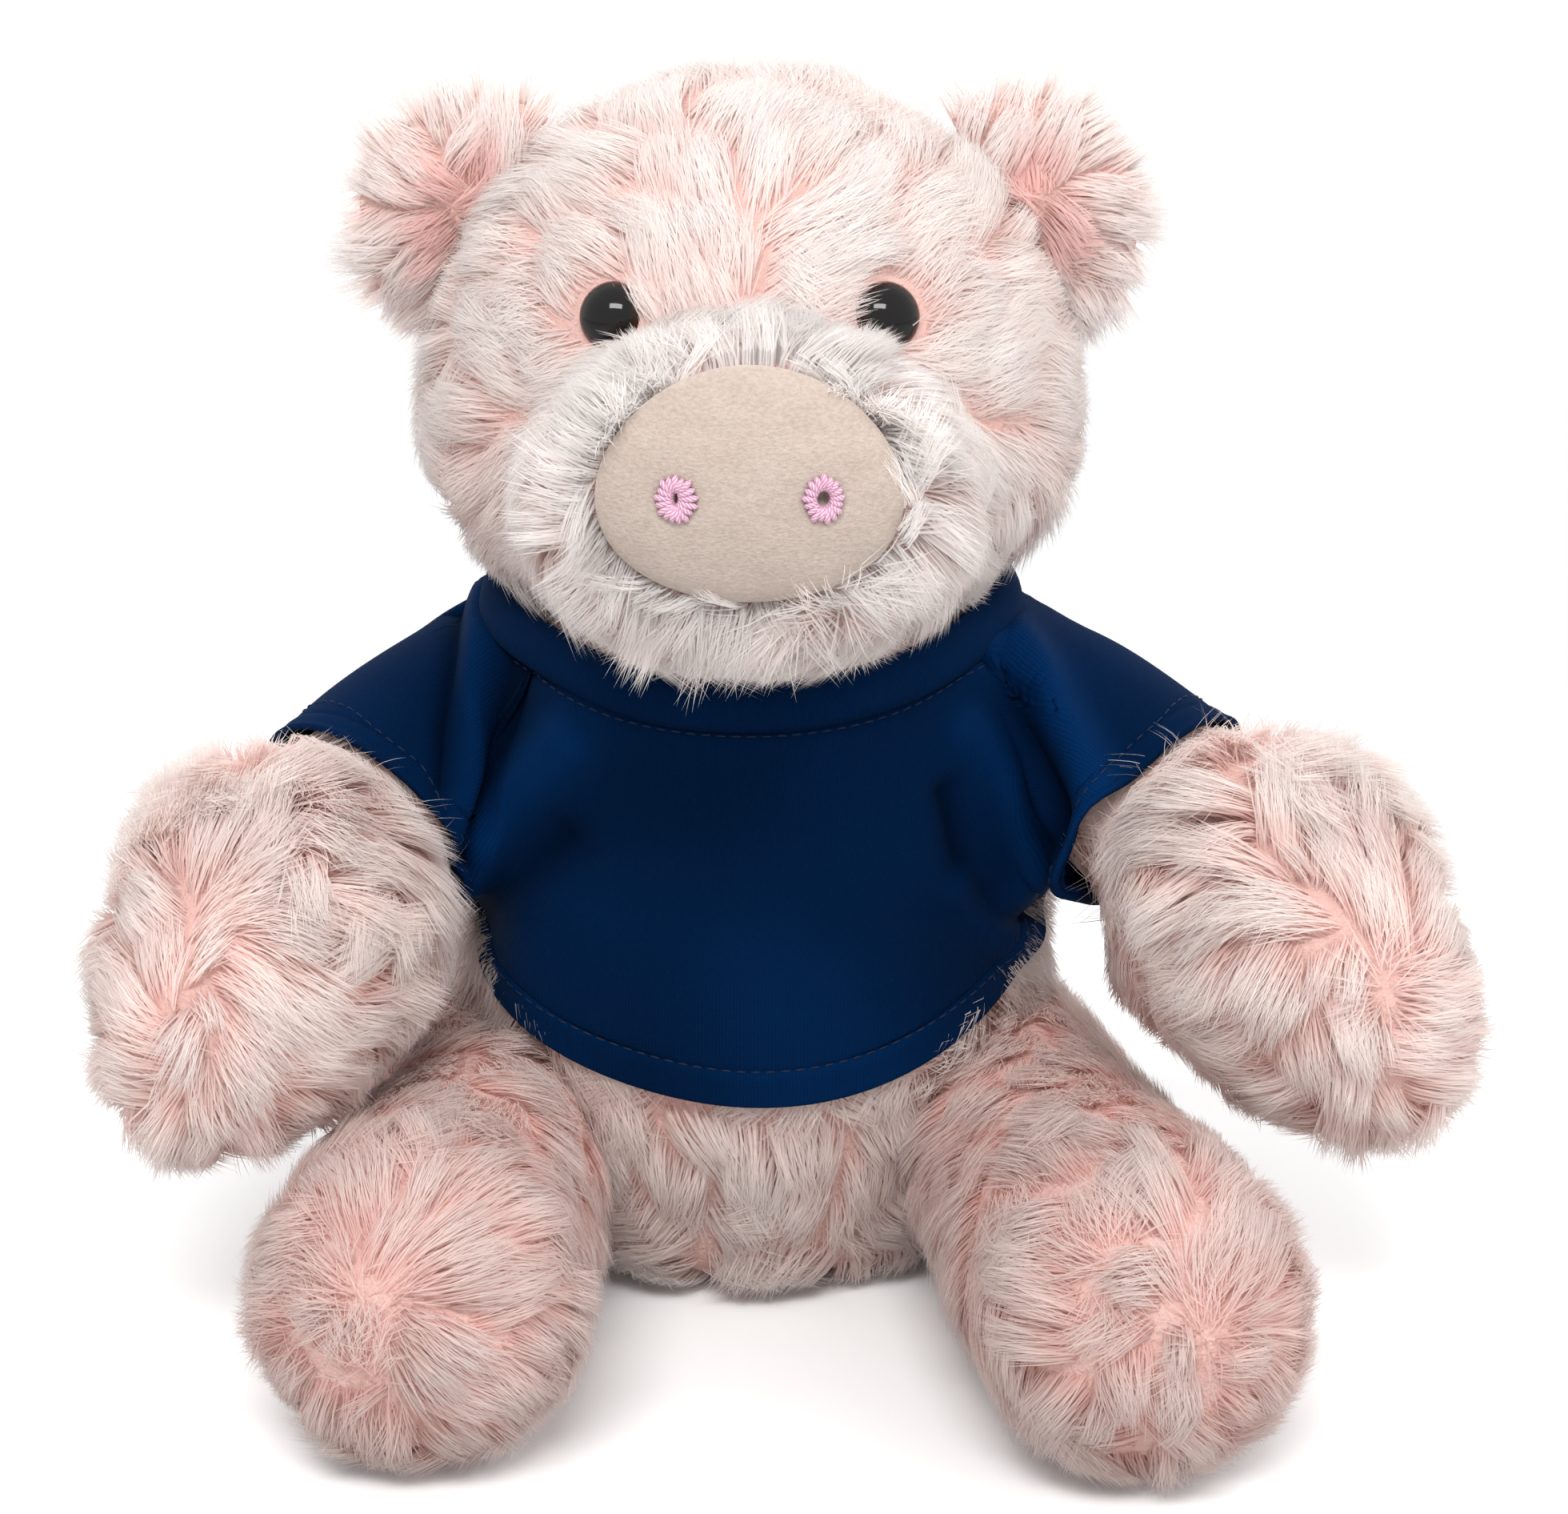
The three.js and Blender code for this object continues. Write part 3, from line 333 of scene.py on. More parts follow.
def head_grid(rows, columns, depth=0):
    """A ball stretched to an egg, with a taller upper half than lower half."""
    turn = np.linspace(-0.5, 0.5, rows)[:, None] * math.pi * 0.995
    angle = circle(columns)[None]
    rise = np.where(turn > 0, HEAD_RISE, HEAD_DROP) - depth
    flat = np.cos(turn)
    grid = np.stack(np.broadcast_arrays(
        (HEAD_HALF_WIDTH - depth) * flat * np.cos(angle),
        (HEAD_HALF_DEPTH - depth) * flat * np.sin(angle),
        rise * np.sin(turn),
    ), axis=-1)
    return grid + HEAD_MIDDLE


def outside_head(points):
    """How far points lie outside the head, along the line from its middle."""
    local = points - HEAD_MIDDLE
    rise = np.where(local[..., 2] > 0, HEAD_RISE, HEAD_DROP)
    scaled = (local[..., 0] / HEAD_HALF_WIDTH, local[..., 1] / HEAD_HALF_DEPTH, local[..., 2] / rise)
    ratio = np.maximum(np.linalg.norm(np.stack(scaled, axis=-1), axis=-1), 1e-6)
    return np.linalg.norm(local, axis=-1) * (1 - 1 / ratio)


def on_face(side, rise):
    """A place on the tips of the face's fur, and the way out of the fur there."""
    forward = HEAD_HALF_DEPTH * math.sqrt(1 - (side / HEAD_HALF_WIDTH) ** 2 - (rise / HEAD_RISE) ** 2)
    place = HEAD_MIDDLE + np.array([side, -forward, rise])
    out = np.array([side / HEAD_HALF_WIDTH**2, -forward / HEAD_HALF_DEPTH**2, rise / HEAD_RISE**2])
    return place, unit(out)


MUZZLE_FRONT = HEAD_MIDDLE[1] - HEAD_HALF_DEPTH - MUZZLE_REACH
MUZZLE_BACK = HEAD_MIDDLE[1] - HEAD_HALF_DEPTH * MUZZLE_ROOT_SHARE
MUZZLE_HEIGHT = HEAD_MIDDLE[2] + HEAD_DROP * MUZZLE_HEIGHT_SHARE
SNOUT_MIDDLE = np.array([0, MUZZLE_FRONT, MUZZLE_HEIGHT + MUZZLE_HALF_HEIGHT * SNOUT_RISE_SHARE])
muzzle_profile = catmull(MUZZLE_OUTLINE, 80)


def muzzle_grid(rows, columns, depth=0):
    """Upright rings carried forwards out of the face, smaller towards the front and lifted there."""
    share = np.linspace(0, 1, rows)
    radius = np.interp(share, muzzle_profile[:, 1], muzzle_profile[:, 0])
    y = MUZZLE_BACK + (MUZZLE_FRONT + depth - MUZZLE_BACK) * share
    angle = circle(columns)
    x = (MUZZLE_HALF_WIDTH * radius - depth)[:, None] * np.cos(angle)
    z = (MUZZLE_HALF_HEIGHT * radius - depth)[:, None] * np.sin(angle)
    z = z + (MUZZLE_HEIGHT + MUZZLE_LIFT * share**2)[:, None]
    return np.stack([x, np.broadcast_to(y[:, None], x.shape), z], axis=-1)


def outside_muzzle(points):
    """How far points lie outside the muzzle, measured square to its length."""
    share = np.clip((points[..., 1] - MUZZLE_BACK) / (MUZZLE_FRONT - MUZZLE_BACK), 0, 1)
    radius = np.interp(share, muzzle_profile[:, 1], muzzle_profile[:, 0])
    x, z = points[..., 0], points[..., 2] - MUZZLE_HEIGHT - MUZZLE_LIFT * share**2
    ratio = np.maximum(np.hypot(x / MUZZLE_HALF_WIDTH, z / MUZZLE_HALF_HEIGHT) / radius, 1e-6)
    beyond = np.maximum(MUZZLE_FRONT - points[..., 1], 0)
    return np.hypot(np.maximum(np.hypot(x, z) * (1 - 1 / ratio), -99), beyond) * np.sign(ratio - 1 + beyond)


def ear_frame(side):
    """The ear's root, and the ways out to its tip, along its root and through it."""
    tip = np.array([side * math.cos(EAR_LEAN), 0, math.sin(EAR_LEAN)])
    along = np.array([side * math.sin(EAR_LEAN), 0, -math.cos(EAR_LEAN)])
    root = HEAD_MIDDLE + np.array([
        side * HEAD_HALF_WIDTH * EAR_SIDE_SHARE, HEAD_HALF_DEPTH * EAR_BACK_SHARE, HEAD_RISE * EAR_RISE_SHARE,
    ])
    return root, tip, along, np.array([0.0, -1.0, 0.0])


def ear_grid(side, rows, columns, depth=0):
    """Half a lens: rings round the line from the ear's root to its tip, wide along the root and thin."""
    root, tip, along, through = ear_frame(side)
    turn = np.linspace(-0.12, 0.995, rows)[:, None, None] * math.pi / 2
    angle = circle(columns)[None, :, None] * side
    across = (EAR_HALF_BASE - depth) * np.cos(angle) * along
    deep = (EAR_THICK - depth) * np.sin(angle) * through
    return root + np.cos(turn) * (across + deep) + np.sin(turn) * (EAR_REACH - depth) * tip


class Limb:
    """A round root, a swell and a rounded end along a spine."""

    def __init__(self, pivot, spine, root_radius, end_radius, swells):
        self.pivot = pivot
        self.spine = spine
        self.reached = distances(spine)
        self.length = self.reached[-1]
        self.root_radius, self.end_radius = root_radius, end_radius
        self.swell, self.widest = (share * self.length for share in swells)
        self.tangents = unit(np.gradient(spine, axis=0))
        stations = np.linspace(0, self.widest, 13)
        self.stations = between(stations, self.reached, spine)
        self.station_radii = self.radius(stations)

    def at(self, distance):
        """The place on the spine at a distance from the pivot, and the frame's three directions there."""
        inside = np.clip(distance, 0, self.length)
        place = between(inside, self.reached, self.spine)
        tangent = unit(between(inside, self.reached, self.tangents))
        place = place + tangent * (distance - inside)[..., None]
        across = unit(np.cross(tangent, [0, 0, 1]))
        return place, tangent, across, np.cross(tangent, across)

    def radius(self, distance):
        """The root's radius, swelling smoothly to the widest place, and then rounding off to the tip."""
        swollen = smooth(distance, self.swell, self.widest)
        swollen = self.root_radius + (self.end_radius - self.root_radius) * swollen
        share = np.clip((distance - self.widest) / (self.length - self.widest), 0, 1)
        return np.where(distance < self.widest, swollen, self.end_radius * np.sqrt(1 - share**2))

    def grid(self, rows, columns, depth=0):
        """Rings round the spine: a half ball at the root, the swell, and the rounded end."""
        turn = np.linspace(-0.5, 0, rows // 5, endpoint=False) * math.pi * 0.99
        body = np.linspace(0, self.widest, rows * 2 // 5, endpoint=False)
        rounding = np.linspace(0, 0.995, rows - len(turn) - len(body)) * math.pi / 2
        end = self.widest + (self.length - self.widest - depth) * np.sin(rounding)
        distance = np.concatenate([(self.root_radius - depth) * np.sin(turn), body, end])
        scale = (self.length - self.widest) / (self.length - self.widest - depth)
        full = self.widest + (end - self.widest) * scale
        radius = np.concatenate([
            (self.root_radius - depth) * np.cos(turn), self.radius(body) - depth,
            self.radius(full) * (self.end_radius - depth) / self.end_radius,
        ])
        place, _, across, along = self.at(distance)
        return rings_about(place, radius, across, along, columns)

    def outside(self, points):
        """How far points lie outside the limb, by the nearest place on the stretches between its stations."""
        nearest = np.full(points.shape[:-1], np.inf)
        outside = np.zeros(points.shape[:-1])
        for a, b, r, s in zip(self.stations, self.stations[1:], self.station_radii, self.station_radii[1:]):
            step = b - a
            share = np.clip((points - a) @ step / (step @ step), 0, 1)
            away = np.linalg.norm(points - a - share[..., None] * step, axis=-1)
            closer = away < nearest
            nearest = np.where(closer, away, nearest)
            outside = np.where(closer, away - r - (s - r) * share, outside)
        return outside

    def along(self, points):
        """How far along the spine its nearest place to each point is, and the tangent there."""
        some = self.spine[::6]
        chosen = np.argmin(np.linalg.norm(points[:, None] - some[None], axis=-1), axis=1) * 6
        return self.reached[chosen], self.tangents[chosen]


def make_arm(name):
    side = SIDES[name]
    shoulder = np.array([side * TORSO_HALF_WIDTH * SHOULDER[0], 0, TORSO_HEIGHT * SHOULDER[1]])
    steps = (ARM_BENDS[name], ARM_TIPS[name])
    bend, tip = (shoulder + np.array([side * out, -forwards, -down]) for out, forwards, down in steps)
    t = np.linspace(0, 1, 240)[:, None]
    spine = (1 - t) ** 2 * shoulder + 2 * t * (1 - t) * bend + t**2 * tip
    return Limb(shoulder, spine, ARM_ROOT, PAW_RADIUS, ARM_SWELLS)


def make_leg(name):
    side = SIDES[name]
    hip = np.array([side * TORSO_HALF_WIDTH * HIP[0], -TORSO_HALF_DEPTH * HIP[1], FOOT_RADIUS - FLOOR_CUT])
    out, forwards = LEG_TIPS[name]
    toe = hip + np.array([side * out, -forwards, 0])
    spine = hip + (toe - hip) * np.linspace(0, 1, 240)[:, None]
    return Limb(hip, spine, LEG_ROOT, FOOT_RADIUS, LEG_SWELLS)


arms = {name: make_arm(name) for name in SIDES}
legs = {name: make_leg(name) for name in SIDES}
TAIL_ROOT = np.array([0, TORSO_HALF_DEPTH, TORSO_HEIGHT * TAIL_HEIGHT_SHARE])


def tail_grid(rows, columns, radius=TAIL_RADIUS):
    """A round tube along a curl that grows out of the back, closed by a rounded tip."""
    share = np.linspace(-0.12, 1, rows)
    angle = 2 * math.pi * TAIL_TURNS * share
    curl = TAIL_CURL * smooth(share, 0, TAIL_CURL_SHARE)
    curled = np.stack([curl * np.sin(angle), TAIL_LENGTH * share, curl * (1 - np.cos(angle))], axis=-1)
    spine = TAIL_ROOT + curled
    tangent = unit(np.gradient(spine, axis=0))
    across = unit(np.cross(tangent, [0, 1, 0.2]))
    along = np.cross(tangent, across)
    size = radius * np.sqrt(np.clip(1 - smooth(share, 0.86, 1.02) ** 2, 0.02, 1))
    return rings_about(spine, size, across, along, columns)


# Materials


def new_material(name, roughness, specular=0.5, sheen=0.0, sheen_tint=(1, 1, 1)):
    """A material with its Principled shader, whose even values are set on the shader's own sockets."""
    material = bpy.data.materials.new(name)
    material.use_nodes = True
    tree = material.node_tree
    shader = tree.nodes["Principled BSDF"]
    even = {"Roughness": roughness, "Specular IOR Level": specular, "Sheen Weight": sheen,
            "Sheen Roughness": 0.4, "Sheen Tint": (*sheen_tint, 1)}
    for label, value in even.items():
        shader.inputs[label].default_value = value
    return material, tree, shader


def node(tree, kind, inputs=None, **settings):
    """A node with its settings, whose inputs are set from values or linked from sockets."""
    made = tree.nodes.new(kind)
    for name, value in settings.items():
        setattr(made, name, value)
    for name, value in (inputs or {}).items():
        socket = made.inputs[name]
        if isinstance(value, bpy.types.NodeSocket):
            tree.links.new(value, socket)
        else:
            socket.default_value = value
    return made


def noise(tree, scale, detail, roughness=0.5, vector=None):
    """Noise on the piece's own coordinates, or on a vector made from them."""
    if vector is None:
        vector = node(tree, "ShaderNodeTexCoord").outputs["Object"]
    made = node(tree, "ShaderNodeTexNoise", {
        "Vector": vector, "Scale": scale, "Detail": detail, "Roughness": roughness})
    return made.outputs["Fac"]


def mapped(tree, value, low, high, to_low=0.0, to_high=1.0, **settings):
    """A value whose range from low to high becomes the range from to_low to to_high."""
    made = node(tree, "ShaderNodeMapRange", {
        "Value": value, "From Min": low, "From Max": high, "To Min": to_low, "To Max": to_high}, **settings)
    return made.outputs[0]


def parts_of(tree, vector):
    return node(tree, "ShaderNodeSeparateXYZ", {0: vector}).outputs


def attribute(tree, name):
    return node(tree, "ShaderNodeAttribute", attribute_name=name).outputs["Vector"]


def paint(tree, shader, colour):
    tree.links.new(colour, shader.inputs["Base Color"])


def emboss(tree, shader, height, strength, distance):
    """A bump in metres from a height."""
    bump = node(tree, "ShaderNodeBump", {"Strength": strength, "Distance": distance, "Height": height})
    tree.links.new(bump.outputs["Normal"], shader.inputs["Normal"])


def math_node(tree, operation, a, b=0.0, clamp=False):
    return node(tree, "ShaderNodeMath", {0: a, 1: b}, operation=operation, use_clamp=clamp).outputs[0]


def ripple(tree, turns):
    """A sine wave that repeats with each whole turn."""
    return math_node(tree, "SINE", math_node(tree, "MULTIPLY", turns, 2 * math.pi))


def mix_colour(tree, share, a, b, blend="MIX"):
    made = node(tree, "ShaderNodeMix", data_type="RGBA", blend_type=blend, clamp_factor=True)
    for socket, value in ((made.inputs[0], share), (made.inputs[6], a), (made.inputs[7], b)):
        if isinstance(value, bpy.types.NodeSocket):
            tree.links.new(value, socket)
        elif socket.type == "RGBA":
            socket.default_value = (*value, 1) if len(value) == 3 else value
        else:
            socket.default_value = value
    return made.outputs[2]


def new_group(name, inputs, outputs):
    """A shader node group with named inputs, each a kind and a first value, and named outputs."""
    tree = bpy.data.node_groups.new(name, "ShaderNodeTree")
    kinds = {"value": "NodeSocketFloat", "colour": "NodeSocketColor", "vector": "NodeSocketVector"}
    for label, (kind, start) in inputs.items():
        socket = tree.interface.new_socket(label, in_out="INPUT", socket_type=kinds[kind])
        if start is not None:
            socket.default_value = (*start, 1) if kind == "colour" else start
    for label, kind in outputs.items():
        tree.interface.new_socket(label, in_out="OUTPUT", socket_type=kinds[kind])
    return tree, tree.nodes.new("NodeGroupInput"), tree.nodes.new("NodeGroupOutput")


def fur_colour_group():
    """Colour along a hair: pinker at its root, paler at its tip, and a little different from hair to hair."""
    tree, given, result = new_group("Fur colour", {
        "Hair": ("vector", None), "Root": ("colour", (0.5, 0.2, 0.2)), "Tip": ("colour", (0.9, 0.7, 0.7)),
        "Blush": ("colour", (0.8, 0.4, 0.4)), "Patchiness": ("value", 0.5),
    }, {"Color": "colour"})
    along, single, blush = parts_of(tree, given.outputs["Hair"])
    eased = mapped(tree, along, 0.12, 0.85, interpolation_type="SMOOTHSTEP")
    shade = mix_colour(tree, eased, given.outputs["Root"], given.outputs["Tip"])
    patch = mapped(tree, noise(tree, 55.0, 2.0), 0.5, 0.75)
    patch_share = math_node(tree, "MULTIPLY", patch, given.outputs["Patchiness"])
    blushed = mix_colour(tree, 0.55, shade, given.outputs["Blush"])
    shade = mix_colour(tree, math_node(tree, "MAXIMUM", blush, patch_share, True), shade, blushed)
    shade = mix_colour(tree, 1.0, shade, mapped(tree, single, 0, 1, 0.96, 1.03), "MULTIPLY")
    tree.links.new(shade, result.inputs["Color"])
    return tree


FUR_COLOUR = fur_colour_group()
THROUGH_SHARE = 0.6


def fur_material(name, root, tip, blush, patchiness):
    """Hair that lets half or more of the light through, coloured by the shared group."""
    material, tree, shader = new_material(name, 0.62, 0.25, 0.25, (1.0, 0.93, 0.9))
    colour = node(tree, "ShaderNodeGroup", node_tree=FUR_COLOUR)
    tree.links.new(attribute(tree, "hair"), colour.inputs["Hair"])
    for label, value in (("Root", root), ("Tip", tip), ("Blush", blush)):
        colour.inputs[label].default_value = (*value, 1)
    colour.inputs["Patchiness"].default_value = patchiness
    paint(tree, shader, colour.outputs["Color"])
    through = node(tree, "ShaderNodeBsdfTranslucent", {"Color": colour.outputs["Color"]})
    both = node(tree, "ShaderNodeMixShader", {0: THROUGH_SHARE, 1: shader.outputs[0], 2: through.outputs[0]})
    tree.links.new(both.outputs[0], tree.nodes["Material Output"].inputs["Surface"])
    return material


def pelt_material():
    """The knitted backing with the dense roots of the fur: mottled deep pink, kept dark as painted shade for
    the openings between tufts, rough and bumpy.
    """
    material, tree, shader = new_material("Pelt under the fur with painted shade", 0.9, 0.1, 0.05, (1.0, 0.8, 0.78))
    mottled = noise(tree, 160.0, 5.0, 0.65)
    # Deep pink backing, darkened as painted shade where it shows between tufts
    paint(tree, shader, mix_colour(tree, mottled, (0.56, 0.33, 0.29), (0.66, 0.45, 0.41)))
    emboss(tree, shader, noise(tree, 900.0, 3.0), 0.7, 0.0012)
    return material


PELT = pelt_material()
HEAD_FUR = fur_material("Head fur", (0.96, 0.80, 0.76), (0.985, 0.955, 0.935), (0.96, 0.76, 0.71), 0.25)
BODY_FUR = fur_material("Body fur", (0.965, 0.74, 0.69), (0.985, 0.935, 0.91), (0.955, 0.72, 0.66), 0.4)
# The legs' fur is a darker copy of the body fur: painted shade, as the legs sit further from the light
SHADED_LEG_FUR = fur_material("Leg fur with painted shade", (0.90, 0.63, 0.58), (0.90, 0.81, 0.78), (0.90, 0.60, 0.55), 0.5)
EAR_FUR = fur_material("Inner ear fur", (0.97, 0.83, 0.79), (0.985, 0.95, 0.935), (0.95, 0.57, 0.53), 0.2)


# Fur


def scatter(grid, goes_round, density, draw):
    """Random places spread evenly on a surface: cells picked by their area, and a place inside each."""
    normals = grid_normals(grid, goes_round)
    if goes_round:
        grid = np.concatenate([grid, grid[:, :1]], axis=1)
        normals = np.concatenate([normals, normals[:, :1]], axis=1)
    a, b, c, d = grid[:-1, :-1], grid[:-1, 1:], grid[1:, 1:], grid[1:, :-1]
    area = np.linalg.norm(np.cross(c - a, d - b), axis=-1).ravel() / 2
    total = max(int(area.sum() * density), 10)
    chosen = np.searchsorted(np.cumsum(area) / area.sum(), draw.random(total))
    row, column = np.divmod(np.minimum(chosen, area.size - 1), grid.shape[1] - 1)
    u, v = draw.random((2, total, 1))

    def inside(values):
        low = values[row, column] * (1 - u) + values[row, column + 1] * u
        high = values[row + 1, column] * (1 - u) + values[row + 1, column + 1] * u
        return low * (1 - v) + high * v

    return inside(grid), unit(inside(normals))


def hashed(cells, seed):
    """Four numbers from 0 to 1 that belong to each cell of a lattice."""
    mixed = cells.astype(np.int64) @ np.array([73856093, 19349663, 83492791]) + seed * 2654435761
    out = []
    for k in range(4):
        n = (mixed + k * 668265263) & 0xFFFFFFFF
        n = ((n ^ (n >> 15)) * 2246822519) & 0xFFFFFFFF
        n = ((n ^ (n >> 13)) * 3266489917) & 0xFFFFFFFF
        out.append(((n ^ (n >> 16)) & 0xFFFFFF) / 0xFFFFFF)
    return np.stack(out, axis=-1)


def tufts(points, size, seed):
    """The nearest centre of a tuft to each point. Each lattice cell holds one, at a random place in it."""
    cell = np.floor(points / size)
    nearest = np.full(len(points), np.inf)
    middle, numbers = np.zeros_like(points), np.zeros((len(points), 4))
    for step in np.ndindex(3, 3, 3):
        other = cell + np.array(step) - 1
        random = hashed(other, seed)
        centre = (other + 0.1 + 0.8 * random[:, :3]) * size
        away = np.linalg.norm(centre - points, axis=1)
        closer = away < nearest
        nearest[closer], middle[closer] = away[closer], centre[closer]
        numbers[closer] = hashed(other[closer], seed + 17)
    return middle, numbers


FUR_STYLE = {
    "density": 2.45, "length": 11.5, "depth": 3.6, "lie": 1.7, "tuft": 9, "converge": 0.42, "swirl": 0.8,
    "swirl_size": 38, "turn": 0.5, "bend": 0.35, "width": 0.3, "sections": 4, "stand": 0.6, "round": 0.36,
}


def at_places(value, places):
    """A value for each place, from a number or from a function of the places."""
    return np.broadcast_to(value(places) if callable(value) else value, (len(places),))


def grow_fur(name, places, normals, comb, blush, fabric, seed, cover=None, lofty=0.0, pale=0.0, **style):
    """Hairs as narrow ribbons.

    Each hair leaves its root square to the fabric and lies over along the combed direction: it rises as
    1 - (1 - t)^lie and runs along as t^1.5. Hairs of one tuft share a direction and a bend, and close in
    on the tuft's middle towards their tips. Where cover is above nothing, the hair is pressed down by it.
    """
    s = {**FUR_STYLE, **style}
    draw = np.random.default_rng(seed)
    count = len(places)
    middle, number = tufts(places, s["tuft"], seed)
    middle = middle - normals * dot(middle - places, normals)
    fine_middle, fine = tufts(places, s["tuft"] * 0.3, seed + 5)
    fine_middle = fine_middle - normals * dot(fine_middle - places, normals)

    swirl = waves(middle, s["swirl_size"], seed + 1, 3)
    direction = unit(comb(middle) * 0.75 + comb(places) * 0.25) + swirl * s["swirl"]
    direction = direction + draw.normal(size=(count, 3)) * 0.1
    direction = unit(direction - normals * dot(direction, normals))
    sideways = np.cross(normals, direction)
    turn = ((number[:, :1] - 0.5) * 2 * s["turn"]) + (fine[:, :1] - 0.5) * 0.2
    direction = direction * np.cos(turn) + sideways * np.sin(turn)
    sideways = np.cross(normals, direction)

    length = at_places(s["length"], places)[:, None] * (0.72 + 0.45 * number[:, 1:2])
    length = length * draw.uniform(0.8, 1.15, (count, 1))
    stand = s["stand"] * (number[:, 2:3] - 0.35) * 3.2 + draw.normal(size=(count, 1)) * 0.35
    stand = stand + at_places(lofty, places)[:, None]
    bend = ((number[:, 3:4] - 0.5) * 2 * s["bend"] + draw.normal(size=(count, 1)) * 0.07) * length
    t = np.linspace(0, 1, s["sections"])[None, :, None]
    root = places - normals * s["depth"]
    gather = s["converge"] * t**1.6
    inwards = (middle - places)[:, None] * gather * 0.7 + (fine_middle - places)[:, None] * gather * 0.25
    lift = s["depth"] * (1 - (1 - t) ** s["lie"]) + stand[:, None] * t
    run = np.sqrt(np.maximum(length**2 - (s["depth"] + stand) ** 2, 4))
    line = (
        root[:, None] + normals[:, None] * lift + direction[:, None] * run[:, None] * t**1.5
        + sideways[:, None] * bend[:, None] * t**2 + inwards
    )
    if cover is not None:
        line = line - normals[:, None] * np.maximum(cover(line), 0)[..., None]
    line[..., 2] = np.maximum(line[..., 2], 0.3 + 0.8 * draw.random((count, 1)))

    way = unit(np.gradient(line, axis=1))
    flat = unit(np.cross(way, normals[:, None]))
    twist = draw.uniform(-0.7, 0.7, (count, 1, 1))
    flat = flat * np.cos(twist) + np.cross(way, flat) * np.sin(twist)
    width = s["width"] * (1 - 0.75 * t**2) * draw.uniform(0.75, 1.25, (count, 1, 1)) / 2
    left, right = line - flat * width, line + flat * width
    sections = s["sections"]
    pairs = np.stack([left, right], axis=2)[:, :-1].reshape(count, -1, 3)
    points = np.concatenate([pairs, line[:, -1:]], axis=1)
    per_hair = 2 * sections - 1
    k = np.arange(sections - 2)
    first = np.stack([2 * k, 2 * k + 1, 2 * k + 3], axis=-1)
    second = np.stack([2 * k, 2 * k + 3, 2 * k + 2], axis=-1)
    last = np.array([[2 * sections - 4, 2 * sections - 3, 2 * sections - 2]])
    one = np.concatenate([first, second, last])
    corners = (one[None] + (np.arange(count) * per_hair)[:, None, None]).ravel()
    made = make_object(name, points.reshape(-1, 3), corners, 3, fabric)
    round_tuft = unit(normals + (places - middle) / s["tuft"] * s["round"] + direction * 0.25)
    own = np.cross(flat, way)
    facing = unit(round_tuft[:, None] + own * 0.09)
    spread = np.concatenate([np.repeat(facing[:, :-1], 2, axis=1), facing[:, -1:]], axis=1)
    set_attribute(made, "custom_normal", spread.reshape(-1, 3))

    steps = np.concatenate([np.repeat(t[0, :-1, 0], 2), [1.0]])
    paler = at_places(pale, places)[:, None]
    # Tufts that stand lower are painted nearer the pinker, darker root colour: painted shade for the depth of
    # the pile
    along = (steps + (1 - steps) * paler) * (0.82 + 0.18 * number[:, 2:3])
    single = np.broadcast_to(draw.random((count, 1)) * 0.7 + number[:, :1] * 0.3, along.shape)
    blushed = np.broadcast_to(at_places(blush, places)[:, None], along.shape)
    set_attribute(made, "hair", np.stack([along, single, blushed], axis=-1).reshape(-1, 3))
    side = math.ceil(math.sqrt(count))
    cell = np.stack(np.divmod(np.arange(count), side), axis=-1)[:, None]
    across = np.concatenate([np.tile([0.2, 0.8], sections - 1), [0.5]])
    inside = np.stack([across, 0.08 + 0.84 * steps], axis=-1)[None]
    set_uv(made, "OFBake", ((cell + inside) / side).reshape(-1, 2))
    return made


def add_fur(name, body, slot, grid, goes_round, comb, blush, fabric, seed, keep=None, share=1.0, cover=None,
            lofty=0.0, pale=0.0, **style):
    """Fur on the part of a surface where keep is true, ridden by its body."""
    draw = np.random.default_rng(seed + 100)
    density = {**FUR_STYLE, **style}["density"] * share * 1
    places, normals = scatter(grid, goes_round, density, draw)
    if keep is not None:
        kept = keep(places)
        places, normals = places[kept], normals[kept]
    made = grow_fur(name, places, normals, comb, blush, fabric, seed, cover, lofty, pale, **style)
    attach(made, body)
    return made


def add_pelt(name, body, rings, nodes):
    """The closed backing below the fur, which stands for the CAD skins and the filling."""
    rings = rings + grid_normals(rings, True) * waves(rings, 9, 900)[..., :1] * 0.5
    made = tube(name, rings, PELT)
    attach(made, body)
    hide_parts(*nodes)
    return made


PELT_DEPTH, LIMB_PELT_DEPTH, EAR_PELT_DEPTH = 2.2, 2.9, 2.8
EAR_RIM = 3.5
BRIDGE = HEAD_MIDDLE + np.array([0, -HEAD_HALF_DEPTH, 14.0])

EYE_ROOM = 5.7
eye_places = {
    name: on_face(side * EYE_SPACING / 2, HEAD_RISE * EYE_RISE_SHARE) for name, side in SIDES.items()
}


def off_eyes(points):
    """How far points lie outside the round room about each eye's stem."""
    away = []
    for place, out in eye_places.values():
        local = points - place
        aside = np.linalg.norm(local - dot(local, out) * out, axis=-1) - EYE_ROOM
        away.append(aside + np.where(local[..., 1] > 20, 99, 0))
    return np.minimum(*away)


def head_comb(points):
    """Away from the bridge of the snout, round the eyes, and down over the back of the head."""
    way = unit(points - BRIDGE)
    behind = smooth(points[:, 1:2], -10, 30)
    way = way * (1 - behind) + np.array([0, 0.2, -1]) * behind
    for place, _ in eye_places.values():
        near = 1 - smooth(np.linalg.norm(points - place, axis=1)[:, None], 7, 16)
        way = way + unit(points - place) * near * 1.1
    return unit(way + np.array([0, 0, -0.15]))


